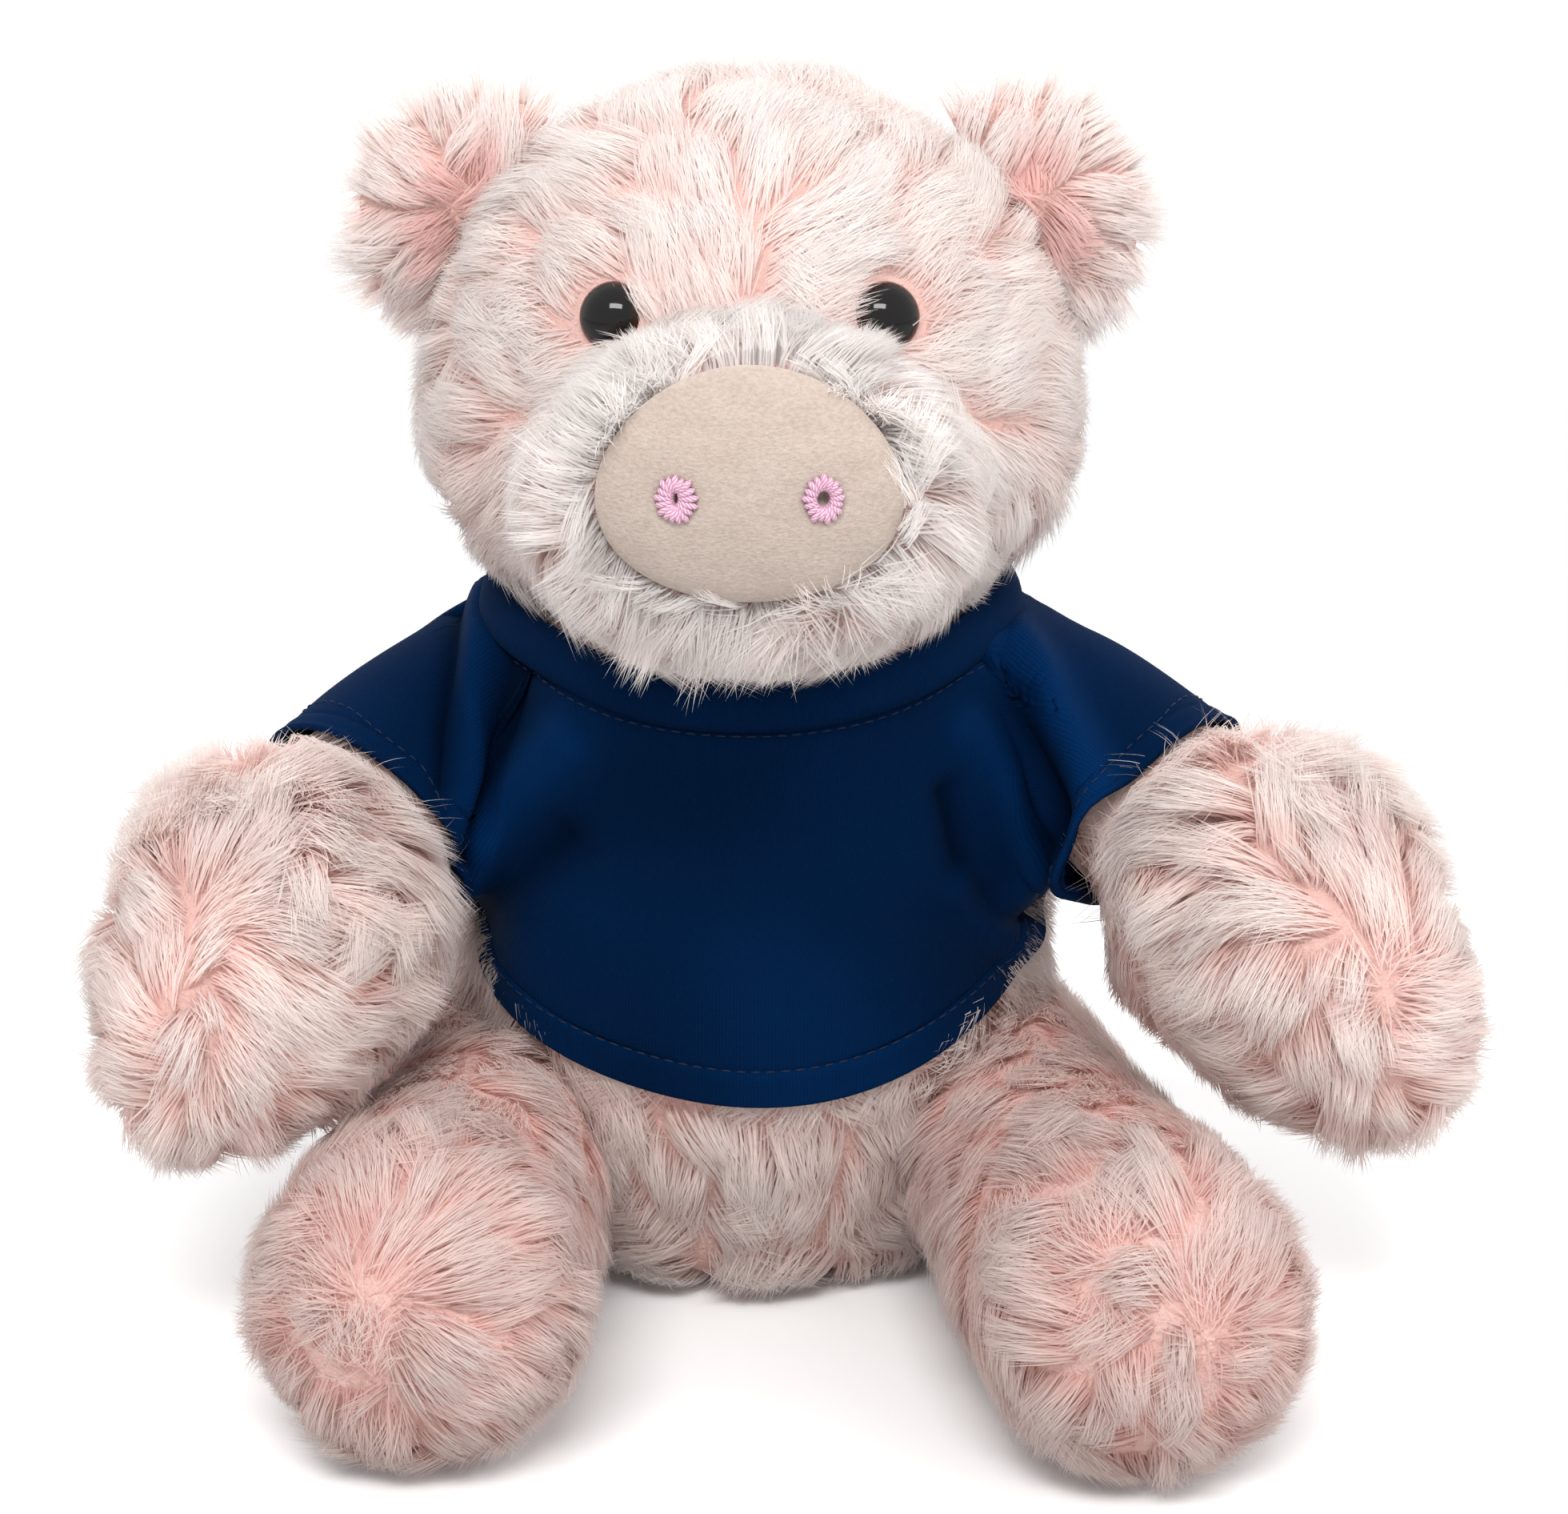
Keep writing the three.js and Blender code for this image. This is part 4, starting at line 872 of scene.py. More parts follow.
def head_kept(points):
    """Where the head's own fur grows: not deep in the muzzle or the collar, nor at the eyes' stems."""
    return (
        ((outside_muzzle(points) > -3) | (points[:, 1] > 0)) & (off_eyes(points) > 0)
        & ((outside_torso(points) > -2) | (points[:, 2] > 128))
    )


def head_blush_and_shade(points):
    """Pinker along the bridge between the eyes and low on the cheeks, in soft patches: painted shade in the
    crease of the bridge, and on the pig's right cheek, which gets more.
    """
    x, z = points[:, 0], points[:, 2] - HEAD_MIDDLE[2]
    front = points[:, 1] < -20
    bridge = np.exp(-((x + 2) / 9) ** 2 - ((z - 19) / 11) ** 2)
    # The cheek at -X is painted three times as pink as the one at +X: painted shade on that side
    cheeks = np.exp(-((np.abs(x) - 46) / 9) ** 2 - ((z + 6) / 20) ** 2) * np.where(x < 0, 0.6, 0.1)
    return np.clip((bridge + cheeks) * front * (0.7 + 0.6 * waves(points, 9, 601)[:, 0]), 0, 1)


def build_head():
    add_pelt("head_pelt", "head", head_grid(60, 96, PELT_DEPTH), ["head_skin", "head_stuffing"])
    grid = head_grid(160, 240)
    forward = lambda points: points[:, 1] < -14
    style = {"length": 13, "tuft": 11, "converge": 0.4, "swirl": 0.45, "swirl_size": 45, "turn": 0.35,
             "bend": 0.3}
    add_fur("head_fur_face", "head", "pink_fur", grid, True, head_comb, head_blush_and_shade, HEAD_FUR, 11,
            lambda p: head_kept(p) & forward(p), share=1.2, **style)
    add_fur("head_fur_back", "head", "pink_fur", grid, True, head_comb, 0.0, HEAD_FUR, 12,
            lambda p: head_kept(p) & ~forward(p), **{**style, "density": 1.45, "width": 0.45})


def disc_share(up):
    """The width of the snout disc at a height from -1 to 1, as a share: it narrows towards its top."""
    return 0.965 - 0.11 * up


def disc_ratio(points):
    """Where points lie across the snout disc, with 1 just outside its edge."""
    local, room = points - SNOUT_MIDDLE, 0.5
    up = local[..., 2] / (SNOUT_HALF_HEIGHT + room)
    return np.hypot(local[..., 0] / (SNOUT_HALF_WIDTH * disc_share(up) + room), up)


def muzzle_comb(points):
    """Out from the middle of the snout disc, and down below it."""
    way = points - SNOUT_MIDDLE
    way[:, 1] = np.maximum(way[:, 1], 2) * 0.8
    below = smooth(-way[:, 2:3], 8, 25)
    return unit(unit(way) * (1 - 0.7 * below) + np.array([0, 0, -1]) * below)


def build_muzzle():
    rings = muzzle_grid(24, 72, PELT_DEPTH)
    add_pelt("muzzle_pelt", "head", rings, ["muzzle_skin", "muzzle_stuffing"])
    grid = muzzle_grid(80, 200)
    front = grid[-1]
    middle = np.array([0, MUZZLE_FRONT, front[:, 2].mean()])
    domed = [
        middle + (front - middle) * k + np.array([0, -1.5 * (1 - k**4), 0])
        for k in np.linspace(1, 0.5, 14)[1:]
    ]
    whole = np.concatenate([grid, domed])

    def beside_disc(points):
        return 1 - smooth(disc_ratio(points), 1.0, 1.3)

    def above_disc(points):
        return smooth(points[:, 2] - SNOUT_MIDDLE[2], 8, 20) * smooth(np.abs(points[:, 0]), 8, 20)

    def near_disc(line):
        """Nothing, or how far hairs reach over the disc."""
        return np.where((disc_ratio(line) < 0.88) & (line[..., 1] > SNOUT_MIDDLE[1] - SNOUT_THICK), 1.5, -9)

    def kept(points):
        return (outside_head(points) > -4) & ((disc_ratio(points) > 0.99) | (points[:, 1] > MUZZLE_FRONT + 6))

    add_fur("muzzle_fur", "head", "pink_fur", whole, True, muzzle_comb, 0.0, HEAD_FUR, 21, kept,
            cover=near_disc, lofty=lambda p: 3.6 * beside_disc(p) + 1.5 * above_disc(p),
            pale=lambda p: 0.75 * beside_disc(p), density=3.2, length=12, depth=2.8, tuft=9, converge=0.35,
            swirl=0.6, turn=0.45, bend=0.35, stand=1.0, lie=2.2)

    def round_disc(points):
        """Along the rim of the disc, away from its top, and a little inwards over it."""
        local = (points - SNOUT_MIDDLE) * np.array([1, 0, 1])
        out = unit(local)
        rim = np.cross(out, [0, 1.0, 0]) * np.where(local[:, :1] > 0, -1, 1) * -1
        return unit(rim * 0.45 + out * 0.5)

    def at_rim(points):
        ratio = disc_ratio(points)
        return (ratio > 0.97) & (ratio < 1.1) & (points[:, 1] < MUZZLE_FRONT + 6)

    add_fur("snout_rim_fur", "head", "pink_fur", whole, True, round_disc, 0.0, HEAD_FUR, 22, at_rim,
            cover=near_disc, lofty=2.6, pale=0.8, density=4, length=9, depth=1.8, tuft=7, converge=0.5,
            swirl=0.9, turn=1.0, bend=0.4, stand=0.5, lie=1.6, width=0.24)
    hanging = lambda p: (p[:, 2] < 152) & (p[:, 1] < -30) & kept(p)
    down = always(0, -0.15, -1)
    add_fur("chin_tufts", "head", "pink_fur", whole, True, down, 0.0, HEAD_FUR, 23, hanging, share=0.45,
            pale=0.5, length=14, depth=3, tuft=6, converge=0.85, swirl=0.35, turn=0.35, bend=0.4, stand=1.2)
    under = lambda p: (p[:, 2] < 142) & (p[:, 1] < 14) & head_kept(p)
    add_fur("jaw_tufts", "head", "pink_fur", head_grid(160, 240), True, down, 0.0, HEAD_FUR, 24, under,
            share=0.45, pale=0.4, length=13, depth=3, tuft=6, converge=0.85, swirl=0.35, turn=0.35, bend=0.4,
            stand=1.2)


def build_ear(name):
    """One ear: hair fans from the middle of its front, pinker near its root."""
    side, body = SIDES[name], f"ear_{name}"
    root, tip, along, through = ear_frame(side)
    rings = ear_grid(side, 30, 56, EAR_PELT_DEPTH)
    add_pelt(f"ear_{name}_pelt", body, rings, [f"ear_{name}_front", f"ear_{name}_back"])
    grid = ear_grid(side, 90, 160)
    centre = root + tip * 2 + through * 4

    def comb(points):
        return unit(unit(points - centre) + tip * 0.35)

    def front(points):
        return points[:, 1] < root[1]

    def blush(points):
        local = points - root
        return (1 - smooth(np.hypot(local @ tip - 3, (local @ along) * 0.5), 2, 8)) * front(points)

    def inside(points):
        local = points - root
        across, up = local @ along / (EAR_HALF_BASE - EAR_RIM), local @ tip / (EAR_REACH - EAR_RIM)
        return np.hypot(up, across) < 1

    style = {"density": 3.4, "length": 9, "depth": 2.2, "tuft": 7, "converge": 0.45, "swirl": 0.35,
             "turn": 0.45, "stand": 1.5, "lie": 1.8}
    add_fur(f"ear_{name}_fur_front", body, "inner_ear_fur", grid, True, comb, blush, EAR_FUR, 31 + side,
            lambda p: front(p) & inside(p), **style)
    add_fur(f"ear_{name}_fur_back", body, "pink_fur", grid, True, comb, 0.0, HEAD_FUR, 41 + side,
            lambda p: ~front(p) & inside(p), **style)


def limb_comb(limb, whorl):
    """Along the limb and a little round it, winding out of a whorl on the front of the paw or foot."""
    middle = limb.at(np.array([limb.length * 0.86]))[0][0]
    centre = middle + np.array([0, -0.5, 0.6]) * limb.end_radius

    def comb(points):
        reached, tangent = limb.along(points)
        place, _, _, _ = limb.at(reached)
        out = unit(points - place)
        lying = unit(tangent + np.cross(tangent, out) * whorl * 1.5 + np.array([0, 0, -0.3]))
        away = points - centre
        distance = np.linalg.norm(away, axis=1)[:, None]
        fan = unit(away)
        spiral = 1.4 * (1 - smooth(distance, 8, 26)) + 0.3
        fan = unit(fan + np.cross(out, fan) * spiral * np.sign(whorl))
        near = 1 - smooth(distance, 28, 50)
        return unit(lying * (1 - near) + fan * near)

    return comb


def pressed_under(beyond, outside, points):
    """How far hair is pressed down by cloth that reaches to beyond = 0, easing off past its hem."""
    pressed = outside + np.maximum(-fold_rise(points), 0)
    return np.where(beyond > 4, -9, pressed - 5 * smooth(beyond, -0.5, 4))


def build_torso():
    rings = torso_grid(50, 96, LIMB_PELT_DEPTH)
    add_pelt("torso_pelt", "torso", rings, ["torso_skin", "torso_stuffing"])
    grid = torso_grid(170, 260)

    def hem_height(points):
        across = np.clip(points[..., 0] / (TORSO_HALF_WIDTH + JERSEY_EASE), -1, 1) ** 2
        middle = np.where(points[..., 1] < 0, HEM_FRONT, HEM_BACK)
        return TORSO_HEIGHT * (middle + (HEM_SIDE - middle) * across)

    def shown(points):
        return points[:, 2] < hem_height(points) + 9

    def kept(points):
        clear = shown(points)
        for leg in legs.values():
            clear &= leg.outside(points) > -3
        return clear

    def under_shirt(points):
        return pressed_under(hem_height(points) - points[..., 2], outside_torso(points) + 1.8, points)

    def comb(points):
        out = unit(points * np.array([1, 1, 0]))
        return unit(out * 0.3 + np.array([0, 0, -1]))

    def at_waist(points):
        """Fuller fur at the sides, where the arms rest near it."""
        return 4 * smooth(np.abs(points[:, 0]), 34, 48) * smooth(points[:, 2], 34, 50)

    # pale=0.25 draws the torso fur towards its tip colour: painted light against the shade below the shirt
    add_fur("torso_fur", "torso", "pink_fur", grid, True, comb, 0.15, BODY_FUR, 51, kept,
            share=0.66, cover=under_shirt, lofty=at_waist, pale=0.25, length=12, tuft=9, converge=0.42,
            swirl=0.9, width=0.37)
    # The neck fur has the full blush: deeper pink painted as shade for the shadow between the chin and the
    # neckband
    neck = lambda p: (p[:, 2] > neck_height(p[:, 1]) - 1) & (outside_head(p) > -8)
    add_fur("neck_fur", "torso", "pink_fur", grid, True, always(0, 0, 1), 1.0, BODY_FUR, 52, neck,
            cover=lambda p: outside_torso(p) + 2, length=9, depth=3, tuft=6, converge=0.4, stand=0.3)


def add_limb_fur(kind, name, limb, comb, fabric, seed, kept, **style):
    """The fur of the outer and of the inner half of a limb, as two pieces."""
    grid = limb.grid(150, 180)
    for half, sign in (("outer", 1), ("inner", -1)):
        def chosen(points, sign=sign):
            place, _, across, _ = limb.at(limb.along(points)[0])
            return kept(points) & (np.sum((points - place) * across, axis=1) * sign > 0)

        add_fur(f"{kind}_{name}_fur_{half}", f"{kind}_{name}", "pink_fur", grid, True, comb, 0.0, fabric,
                seed + SIDES[name] * 2 + sign, chosen, **style)


def build_arm(name):
    """One arm: hair pressed down under the sleeve, fuller on top past it, and stray hairs over the cloth."""
    side, arm, body = SIDES[name], arms[name], f"arm_{name}"
    skins = [f"arm_{name}_skin", f"arm_{name}_stuffing"]
    add_pelt(f"arm_{name}_pelt", body, arm.grid(50, 64, LIMB_PELT_DEPTH), skins)
    hem = arm.length * SLEEVE_SHARE

    def kept(points):
        return arm.along(points)[0] > hem - 11

    def under_sleeve(points):
        reached, _ = arm.along(points.reshape(-1, 3))
        return pressed_under((reached - hem).reshape(points.shape[:-1]), arm.outside(points) + 1.7, points)

    def on_top(points):
        """One on the upper side of the arm just past the sleeve, falling to nothing on the paw and below."""
        reached, _ = arm.along(points)
        up = unit(points - arm.at(reached)[0])[:, 2]
        return smooth(up, -0.1, 0.7) * smooth(reached - hem, -2, 5) * (1 - smooth(reached - hem, 28, 52))

    add_limb_fur("arm", name, arm, limb_comb(arm, 0.7 * side), BODY_FUR, 61, kept, cover=under_sleeve,
                 length=lambda p: 12 + 4 * on_top(p), tuft=9, swirl=0.6, swirl_size=30, turn=0.5,
                 lofty=lambda p: 4 * on_top(p))

    def at_hem(points):
        reached, _ = arm.along(points)
        return (reached > hem + 1.5) & (reached < hem + 4.5)

    back_up = lambda p: -arm.along(p)[1]
    add_fur(f"arm_{name}_stray_hairs", body, "pink_fur", arm.grid(150, 180), True, back_up, 0.0, BODY_FUR,
            66 + side, at_hem, share=0.05, length=7, depth=1.5, lofty=4.6, tuft=7, converge=0.6, swirl=1.0,
            turn=0.8, bend=1.3, width=0.12, sections=6)


def build_leg(name):
    """One leg and its foot, with the hair thinned where the toy sits on it."""
    side, leg = SIDES[name], legs[name]
    skins = [f"leg_{name}_skin", f"foot_{name}_skin", f"leg_{name}_stuffing"]
    add_pelt(f"leg_{name}_pelt", f"leg_{name}", leg.grid(50, 64, PELT_DEPTH), skins)

    def kept(points):
        thinned = (points[:, 2] > 4) | (np.arange(len(points)) % 2 == 0)
        return (outside_torso(points) > -4) & (points[:, 2] > 0.2) & thinned

    add_limb_fur("leg", name, leg, limb_comb(leg, 0.6 * side), SHADED_LEG_FUR, 81, kept,
                 density=2.3, length=12, tuft=9.5, swirl=0.6, swirl_size=30, turn=0.5)


def build_tail():
    rings = tail_grid(60, 20, TAIL_RADIUS - 1)
    add_pelt("tail_pelt", "tail", rings, ["tail"])
    add_fur("tail_fur", "tail", "pink_fur", tail_grid(60, 20), True, always(0.2, 1, -0.4), 0.0, BODY_FUR, 95,
            density=4, length=5, depth=1.5, tuft=3, width=0.35, stand=0.3)


# Face


def eye_material():
    """Polished dark plastic that lets a little brown through at its rim."""
    material, tree, shader = new_material("Polished eye", 0.06, 0.3)
    rim = parts_of(tree, attribute(tree, "rim"))[0]
    paint(tree, shader, mix_colour(tree, rim, (0.006, 0.005, 0.005), (0.035, 0.012, 0.008)))
    rough = mapped(tree, noise(tree, 2600.0, 1.0), 0, 1, 0.04, 0.09)
    tree.links.new(rough, shader.inputs["Roughness"])
    return material


def build_eyes():
    gloss = eye_material()
    for name, (place, out) in eye_places.items():
        seat = place - out * EYE_SUNK
        across = unit(np.cross(out, [0, 0, 1.0]))
        upwards = np.cross(across, out)
        turn = np.linspace(0, 0.99, 28) * math.pi / 2
        radius = np.concatenate([[2.0, 2.0, EYE_RADIUS * 0.96, EYE_RADIUS], EYE_RADIUS * np.cos(turn[1:])])
        height = np.concatenate([[-8.0, -0.6, -0.6, -0.2], EYE_DOME * np.sin(turn[1:])])
        columns = 64
        rings = rings_about(seat + height[:, None] * out, radius, across[None], upwards[None], columns)
        made = tube(f"eye_{name}_dome", rings, gloss)
        rim = np.repeat(smooth(radius / EYE_RADIUS, 0.72, 0.98), columns)
        full = np.concatenate([np.repeat(rim[:1], columns), rim, np.repeat(rim[-1:], columns)])
        set_attribute(made, "rim", np.stack([full, full, full], axis=-1))
        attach(made, "head")
        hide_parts(f"eye_{name}")
        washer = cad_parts[f"eye_washer_{name}"]
        washer.data.materials.clear()
        washer.data.materials.append(WASHER)


def washer_material():
    """White moulded plastic, faintly mottled."""
    material, tree, shader = new_material("Moulded washer", 0.45, 0.4)
    paint(tree, shader, mix_colour(tree, noise(tree, 1500.0, 2.0), (0.72, 0.71, 0.68), (0.80, 0.79, 0.76)))
    return material


WASHER = washer_material()


def velour_material():
    """Short dense pile that shows brushed patches, lighter where it leans to the light."""
    material, tree, shader = new_material("Snout velour", 0.85, 0.15, 0.6, (1.0, 0.93, 0.88))
    place = node(tree, "ShaderNodeTexCoord").outputs["Object"]
    stretched = node(tree, "ShaderNodeMapping", {"Vector": place, "Scale": (1.0, 1.0, 2.0)}).outputs[0]
    brushed = noise(tree, 130.0, 4.0, 0.6, stretched)
    fine = noise(tree, 1100.0, 3.0, 0.7, stretched)
    colour = mix_colour(tree, brushed, (0.415, 0.33, 0.283), (0.515, 0.432, 0.377))
    paint(tree, shader, mix_colour(tree, 1.0, colour, mapped(tree, fine, 0.3, 0.7, 0.82, 1.1), "MULTIPLY"))
    emboss(tree, shader, math_node(tree, "ADD", fine, brushed), 0.5, 0.0006)
    return material


def snout_surface(x, z, lift=0.0):
    """The front of the snout disc, swelling forwards as the root of one minus its squared radius."""
    inside = np.clip(1 - (x / SNOUT_HALF_WIDTH) ** 2 - (z / SNOUT_HALF_HEIGHT) ** 2, 0, 1)
    return SNOUT_MIDDLE + np.stack([x, -(SNOUT_THICK + lift) * np.sqrt(inside) - lift, z], axis=-1)


def nostril_middle(side):
    """How far a nostril lies across and up from the middle of the snout disc."""
    return side * NOSTRIL_SPACING / 2, -SNOUT_HALF_HEIGHT * NOSTRIL_DROP_SHARE


def build_snout():
    velour = velour_material()
    turn = np.linspace(-0.99, 0.99, 70) * math.pi / 2
    angle = circle(144)
    shrink = np.cos(turn)[:, None]
    z = SNOUT_HALF_HEIGHT * shrink * np.sin(angle)
    x = SNOUT_HALF_WIDTH * shrink * np.cos(angle) * disc_share(z / SNOUT_HALF_HEIGHT)
    y = -SNOUT_THICK * np.sin(turn)[:, None] + 0 * x
    rings = np.stack([x, y, z], axis=-1) + SNOUT_MIDDLE
    for side in SIDES.values():
        across, up = nostril_middle(side)
        away = np.hypot(rings[..., 0] - across, rings[..., 2] - (SNOUT_MIDDLE[2] + up))
        pit = 0.9 * np.exp(-((away / 3.4) ** 2)) + 2.2 * np.exp(-((away / 1.5) ** 2))
        rings[..., 1] += np.where(rings[..., 1] < SNOUT_MIDDLE[1], pit, 0)
    rings += waves(rings, 14, 7)[..., :1] * 0.18 * np.array([0, 1, 0])
    made = tube("snout_velour_disc", rings[::-1], velour)
    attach(made, "head")
    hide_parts("snout_disc")


def thread_material():
    """Satin embroidery thread, with fine lines along each stitch."""
    material, tree, shader = new_material("Embroidery thread", 0.38, 0.4, 0.35, (1.0, 0.85, 0.95))
    around, along, _ = parts_of(tree, node(tree, "ShaderNodeUVMap", uv_map="UVMap").outputs[0])
    turns = math_node(tree, "MULTIPLY", around, 6.0)
    twist = math_node(tree, "ADD", turns, math_node(tree, "MULTIPLY", along, 5.0))
    share = mapped(tree, ripple(tree, twist), -1, 1)
    paint(tree, shader, mix_colour(tree, share, (0.50, 0.24, 0.36), (0.82, 0.52, 0.64)))
    emboss(tree, shader, share, 0.5, 0.0002)
    return material


def stitches(name, starts, ends, outs, radius, rise, fabric):
    """Short threads from each start to its end, each a round tube that arches up in between."""
    thickness = np.array([0.35, 0.85, 1, 1, 1, 0.85, 0.35])
    sections, sides = len(thickness), 6
    t = np.linspace(0, 1, sections)[None, :, None]
    arch = np.sin(math.pi * np.clip(t, 0, 1)) ** 0.6
    line = starts[:, None] * (1 - t) + ends[:, None] * t + outs[:, None] * (arch * rise - radius * 0.6)
    way = unit(np.gradient(line, axis=1))
    side = unit(np.cross(way, outs[:, None]))
    above = np.cross(side, way)
    angle = circle(sides)
    size = (radius * thickness)[None, :, None, None]
    ring = side[:, :, None] * np.cos(angle)[:, None] + above[:, :, None] * np.sin(angle)[:, None]
    rings = line[:, :, None] + ring * size
    count, per = len(starts), sections * sides
    one = np.concatenate([grid_corners(sections, sides, True), lid(sides)[:, ::-1], lid(sides) + per - sides])
    corners = (one[None] + (np.arange(count) * per)[:, None, None]).ravel()
    made = make_object(name, rings.reshape(-1, 3), corners, 4, fabric)
    uv = uv_grid(np.linspace(0, 1, sections), np.linspace(0, 1, sides, endpoint=False))
    set_uv(made, "UVMap", np.tile(uv, (count, 1)))
    return made


def build_nostrils():
    """Satin stitches that radiate from the hole: a slit for one nostril, a round hole for the other."""
    thread = thread_material()
    for name, side in SIDES.items():
        count = 17
        angle = circle(count) + 0.1
        centre = nostril_middle(side)
        jitter = np.random.default_rng(5 + side).uniform(0.9, 1.08, count)
        inner = (1.1, 1.3) if name == "left" else (0.35, 1.0)
        x = centre[0] + np.cos(angle) * inner[0]
        z = centre[1] + np.sin(angle) * inner[1]
        far_x = centre[0] + np.cos(angle) * (NOSTRIL_HALF_WIDTH + 0.15) * jitter
        far_z = centre[1] + np.sin(angle) * (NOSTRIL_HALF_HEIGHT + 0.15) * jitter
        starts, ends = snout_surface(far_x, far_z, 0.1), snout_surface(x, z, 0.1)
        ends[:, 1] += 0.7
        outs = np.broadcast_to(unit(np.array([side * 0.25, -1, 0])), starts.shape)
        made = stitches(f"nostril_{name}_stitches", starts, ends, outs, 0.62, 0.75, thread)
        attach(made, "head")
        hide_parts(f"nostril_{name}")


# T-shirt


SLEEVE_SHARE = 0.32
RAGLAN_TOP, RAGLAN_FOOT, ARMPIT_SHARE = 0.68, 1.02, 0.655
HEM_FRONT, HEM_SIDE, HEM_BACK = 0.36, 0.58, 0.46
NECK_FRONT, NECK_SIDE = 0.885 * TORSO_HEIGHT, 0.98 * TORSO_HEIGHT
ARMPIT_FILLET, SHOULDER_FILLET, BRIDGE_CAP = 8, 16, 9
PANEL_TUCK, SLEEVE_TUCK, GUSSET = 1.17, 3.5, 20.0
NECKBAND_HEIGHT, NECKBAND_LEAN = 8.5, 2.5
HEM_BAND, SLEEVE_BAND = 6.8, 5.0
LOWEST_CLOTH = -2.6
STITCH_PITCH, STITCH_LENGTH, STITCH_RADIUS = 2.7, 1.9, 0.17
# Ridges and valleys on the front, as places across and up in shares of the torso, with rise and width in mm
FOLDS = [
    (5.5, 4.5, [(0.74, 0.97), (0.98, 0.87), (1.14, 0.76), (1.1, 0.67), (0.98, 0.62)]),
    (-3.4, 3.0, [(0.80, 0.93), (0.97, 0.82), (1.04, 0.74), (1.02, 0.65), (0.96, 0.6)]),
    (2.6, 4, [(0.68, 0.86), (0.86, 0.74), (0.92, 0.64), (0.88, 0.58)]),
    (-2.8, 2.8, [(0.62, 0.78), (0.68, 0.68), (0.80, 0.58), (0.92, 0.54)]),
    (2.2, 3, [(0.70, 0.64), (0.82, 0.55), (0.95, 0.50)]),
    (4.2, 5, [(-0.58, 0.85), (-0.72, 0.77), (-0.86, 0.68), (-0.93, 0.63)]),
    (3.0, 3.5, [(-0.86, 0.98), (-0.9, 0.9), (-0.9, 0.8), (-0.92, 0.7)]),
    (-3.4, 3.0, [(-0.74, 0.96), (-0.80, 0.86), (-0.86, 0.76), (-0.94, 0.68)]),
    (-2.4, 2.4, [(-0.98, 0.97), (-0.98, 0.88), (-0.99, 0.78)]),
    (-2.4, 5, [(-0.60, 0.72), (-0.76, 0.64), (-0.88, 0.56), (-0.95, 0.52)]),
]
fold_lines = [
    (rise, width, catmull(np.array(line) * [TORSO_HALF_WIDTH, TORSO_HEIGHT], 40))
    for rise, width, line in FOLDS
]


def outside_body(points):
    """How far points lie outside what the T-shirt wraps, with armpits and shoulders bridged softly."""
    nearest = outside_torso(points)
    for arm in arms.values():
        other = arm.outside(points)
        above = smooth(points[..., 2], arm.pivot[2], arm.pivot[2] + arm.root_radius)
        fillet = ARMPIT_FILLET + (SHOULDER_FILLET - ARMPIT_FILLET) * above
        bridge = np.maximum(fillet - np.abs(nearest - other), 0) / fillet
        nearest = np.minimum(nearest, other) - bridge**2 * fillet / 4
    return nearest


def leave(origins, directions, start, reach):
    """Where each ray first leaves what the cloth wraps: stride out, then halve the last stride."""
    strides = np.linspace(0, reach, 15)

    def beyond(distance):
        return outside_body(origins + directions * distance[..., None]) > JERSEY_EASE

    outside = np.stack([beyond(start + d) for d in strides])
    found = outside.any(0)
    first = np.where(found, np.argmax(outside, axis=0), len(strides) - 1)
    far = start + strides[first]
    return halve(np.maximum(far - strides[1], start), far, beyond, 9), found


def around_torso(angle, height):
    """Places on the shirt at angles round the torso and at heights. Under an arm it stays near the torso."""
    origins = np.stack([np.zeros_like(height), np.zeros_like(height), height], axis=-1)
    directions = np.stack([np.cos(angle), np.sin(angle), np.zeros_like(angle)], axis=-1)
    alone = torso_share(height) / np.hypot(np.cos(angle) / TORSO_HALF_WIDTH, np.sin(angle) / TORSO_HALF_DEPTH)
    alone = alone + JERSEY_EASE
    far, _ = leave(origins, directions, alone, BRIDGE_CAP * 1.6)
    bridged = BRIDGE_CAP * np.tanh((far - alone) / BRIDGE_CAP)
    return origins + directions * (alone + bridged)[..., None]


def relax(grid, passes):
    """The grid with the places inside its edges drawn to the mean of their neighbours, pass by pass."""
    for _ in range(passes):
        inner = (grid[:-2, 1:-1] + grid[2:, 1:-1] + grid[1:-1, :-2] + grid[1:-1, 2:]) / 4
        grid = grid.copy()
        grid[1:-1, 1:-1] = grid[1:-1, 1:-1] * 0.3 + inner * 0.7
    return grid


def raglan(name):
    """A point and the outward normal of the plane that holds the raglan seam."""
    side = SIDES[name]
    top = np.array([side * TORSO_HALF_WIDTH * RAGLAN_TOP, 0, TORSO_HEIGHT])
    foot = np.array([side * TORSO_HALF_WIDTH * RAGLAN_FOOT, 0, TORSO_HEIGHT * ARMPIT_SHARE])
    normal = unit(np.array([top[2] - foot[2], 0, foot[0] - top[0]]))
    return top, normal * (1 if normal[0] * side > 0 else -1)


def neck_height(y):
    return np.minimum(NECK_SIDE, NECK_SIDE + (NECK_SIDE - NECK_FRONT) * y / TORSO_HALF_DEPTH)


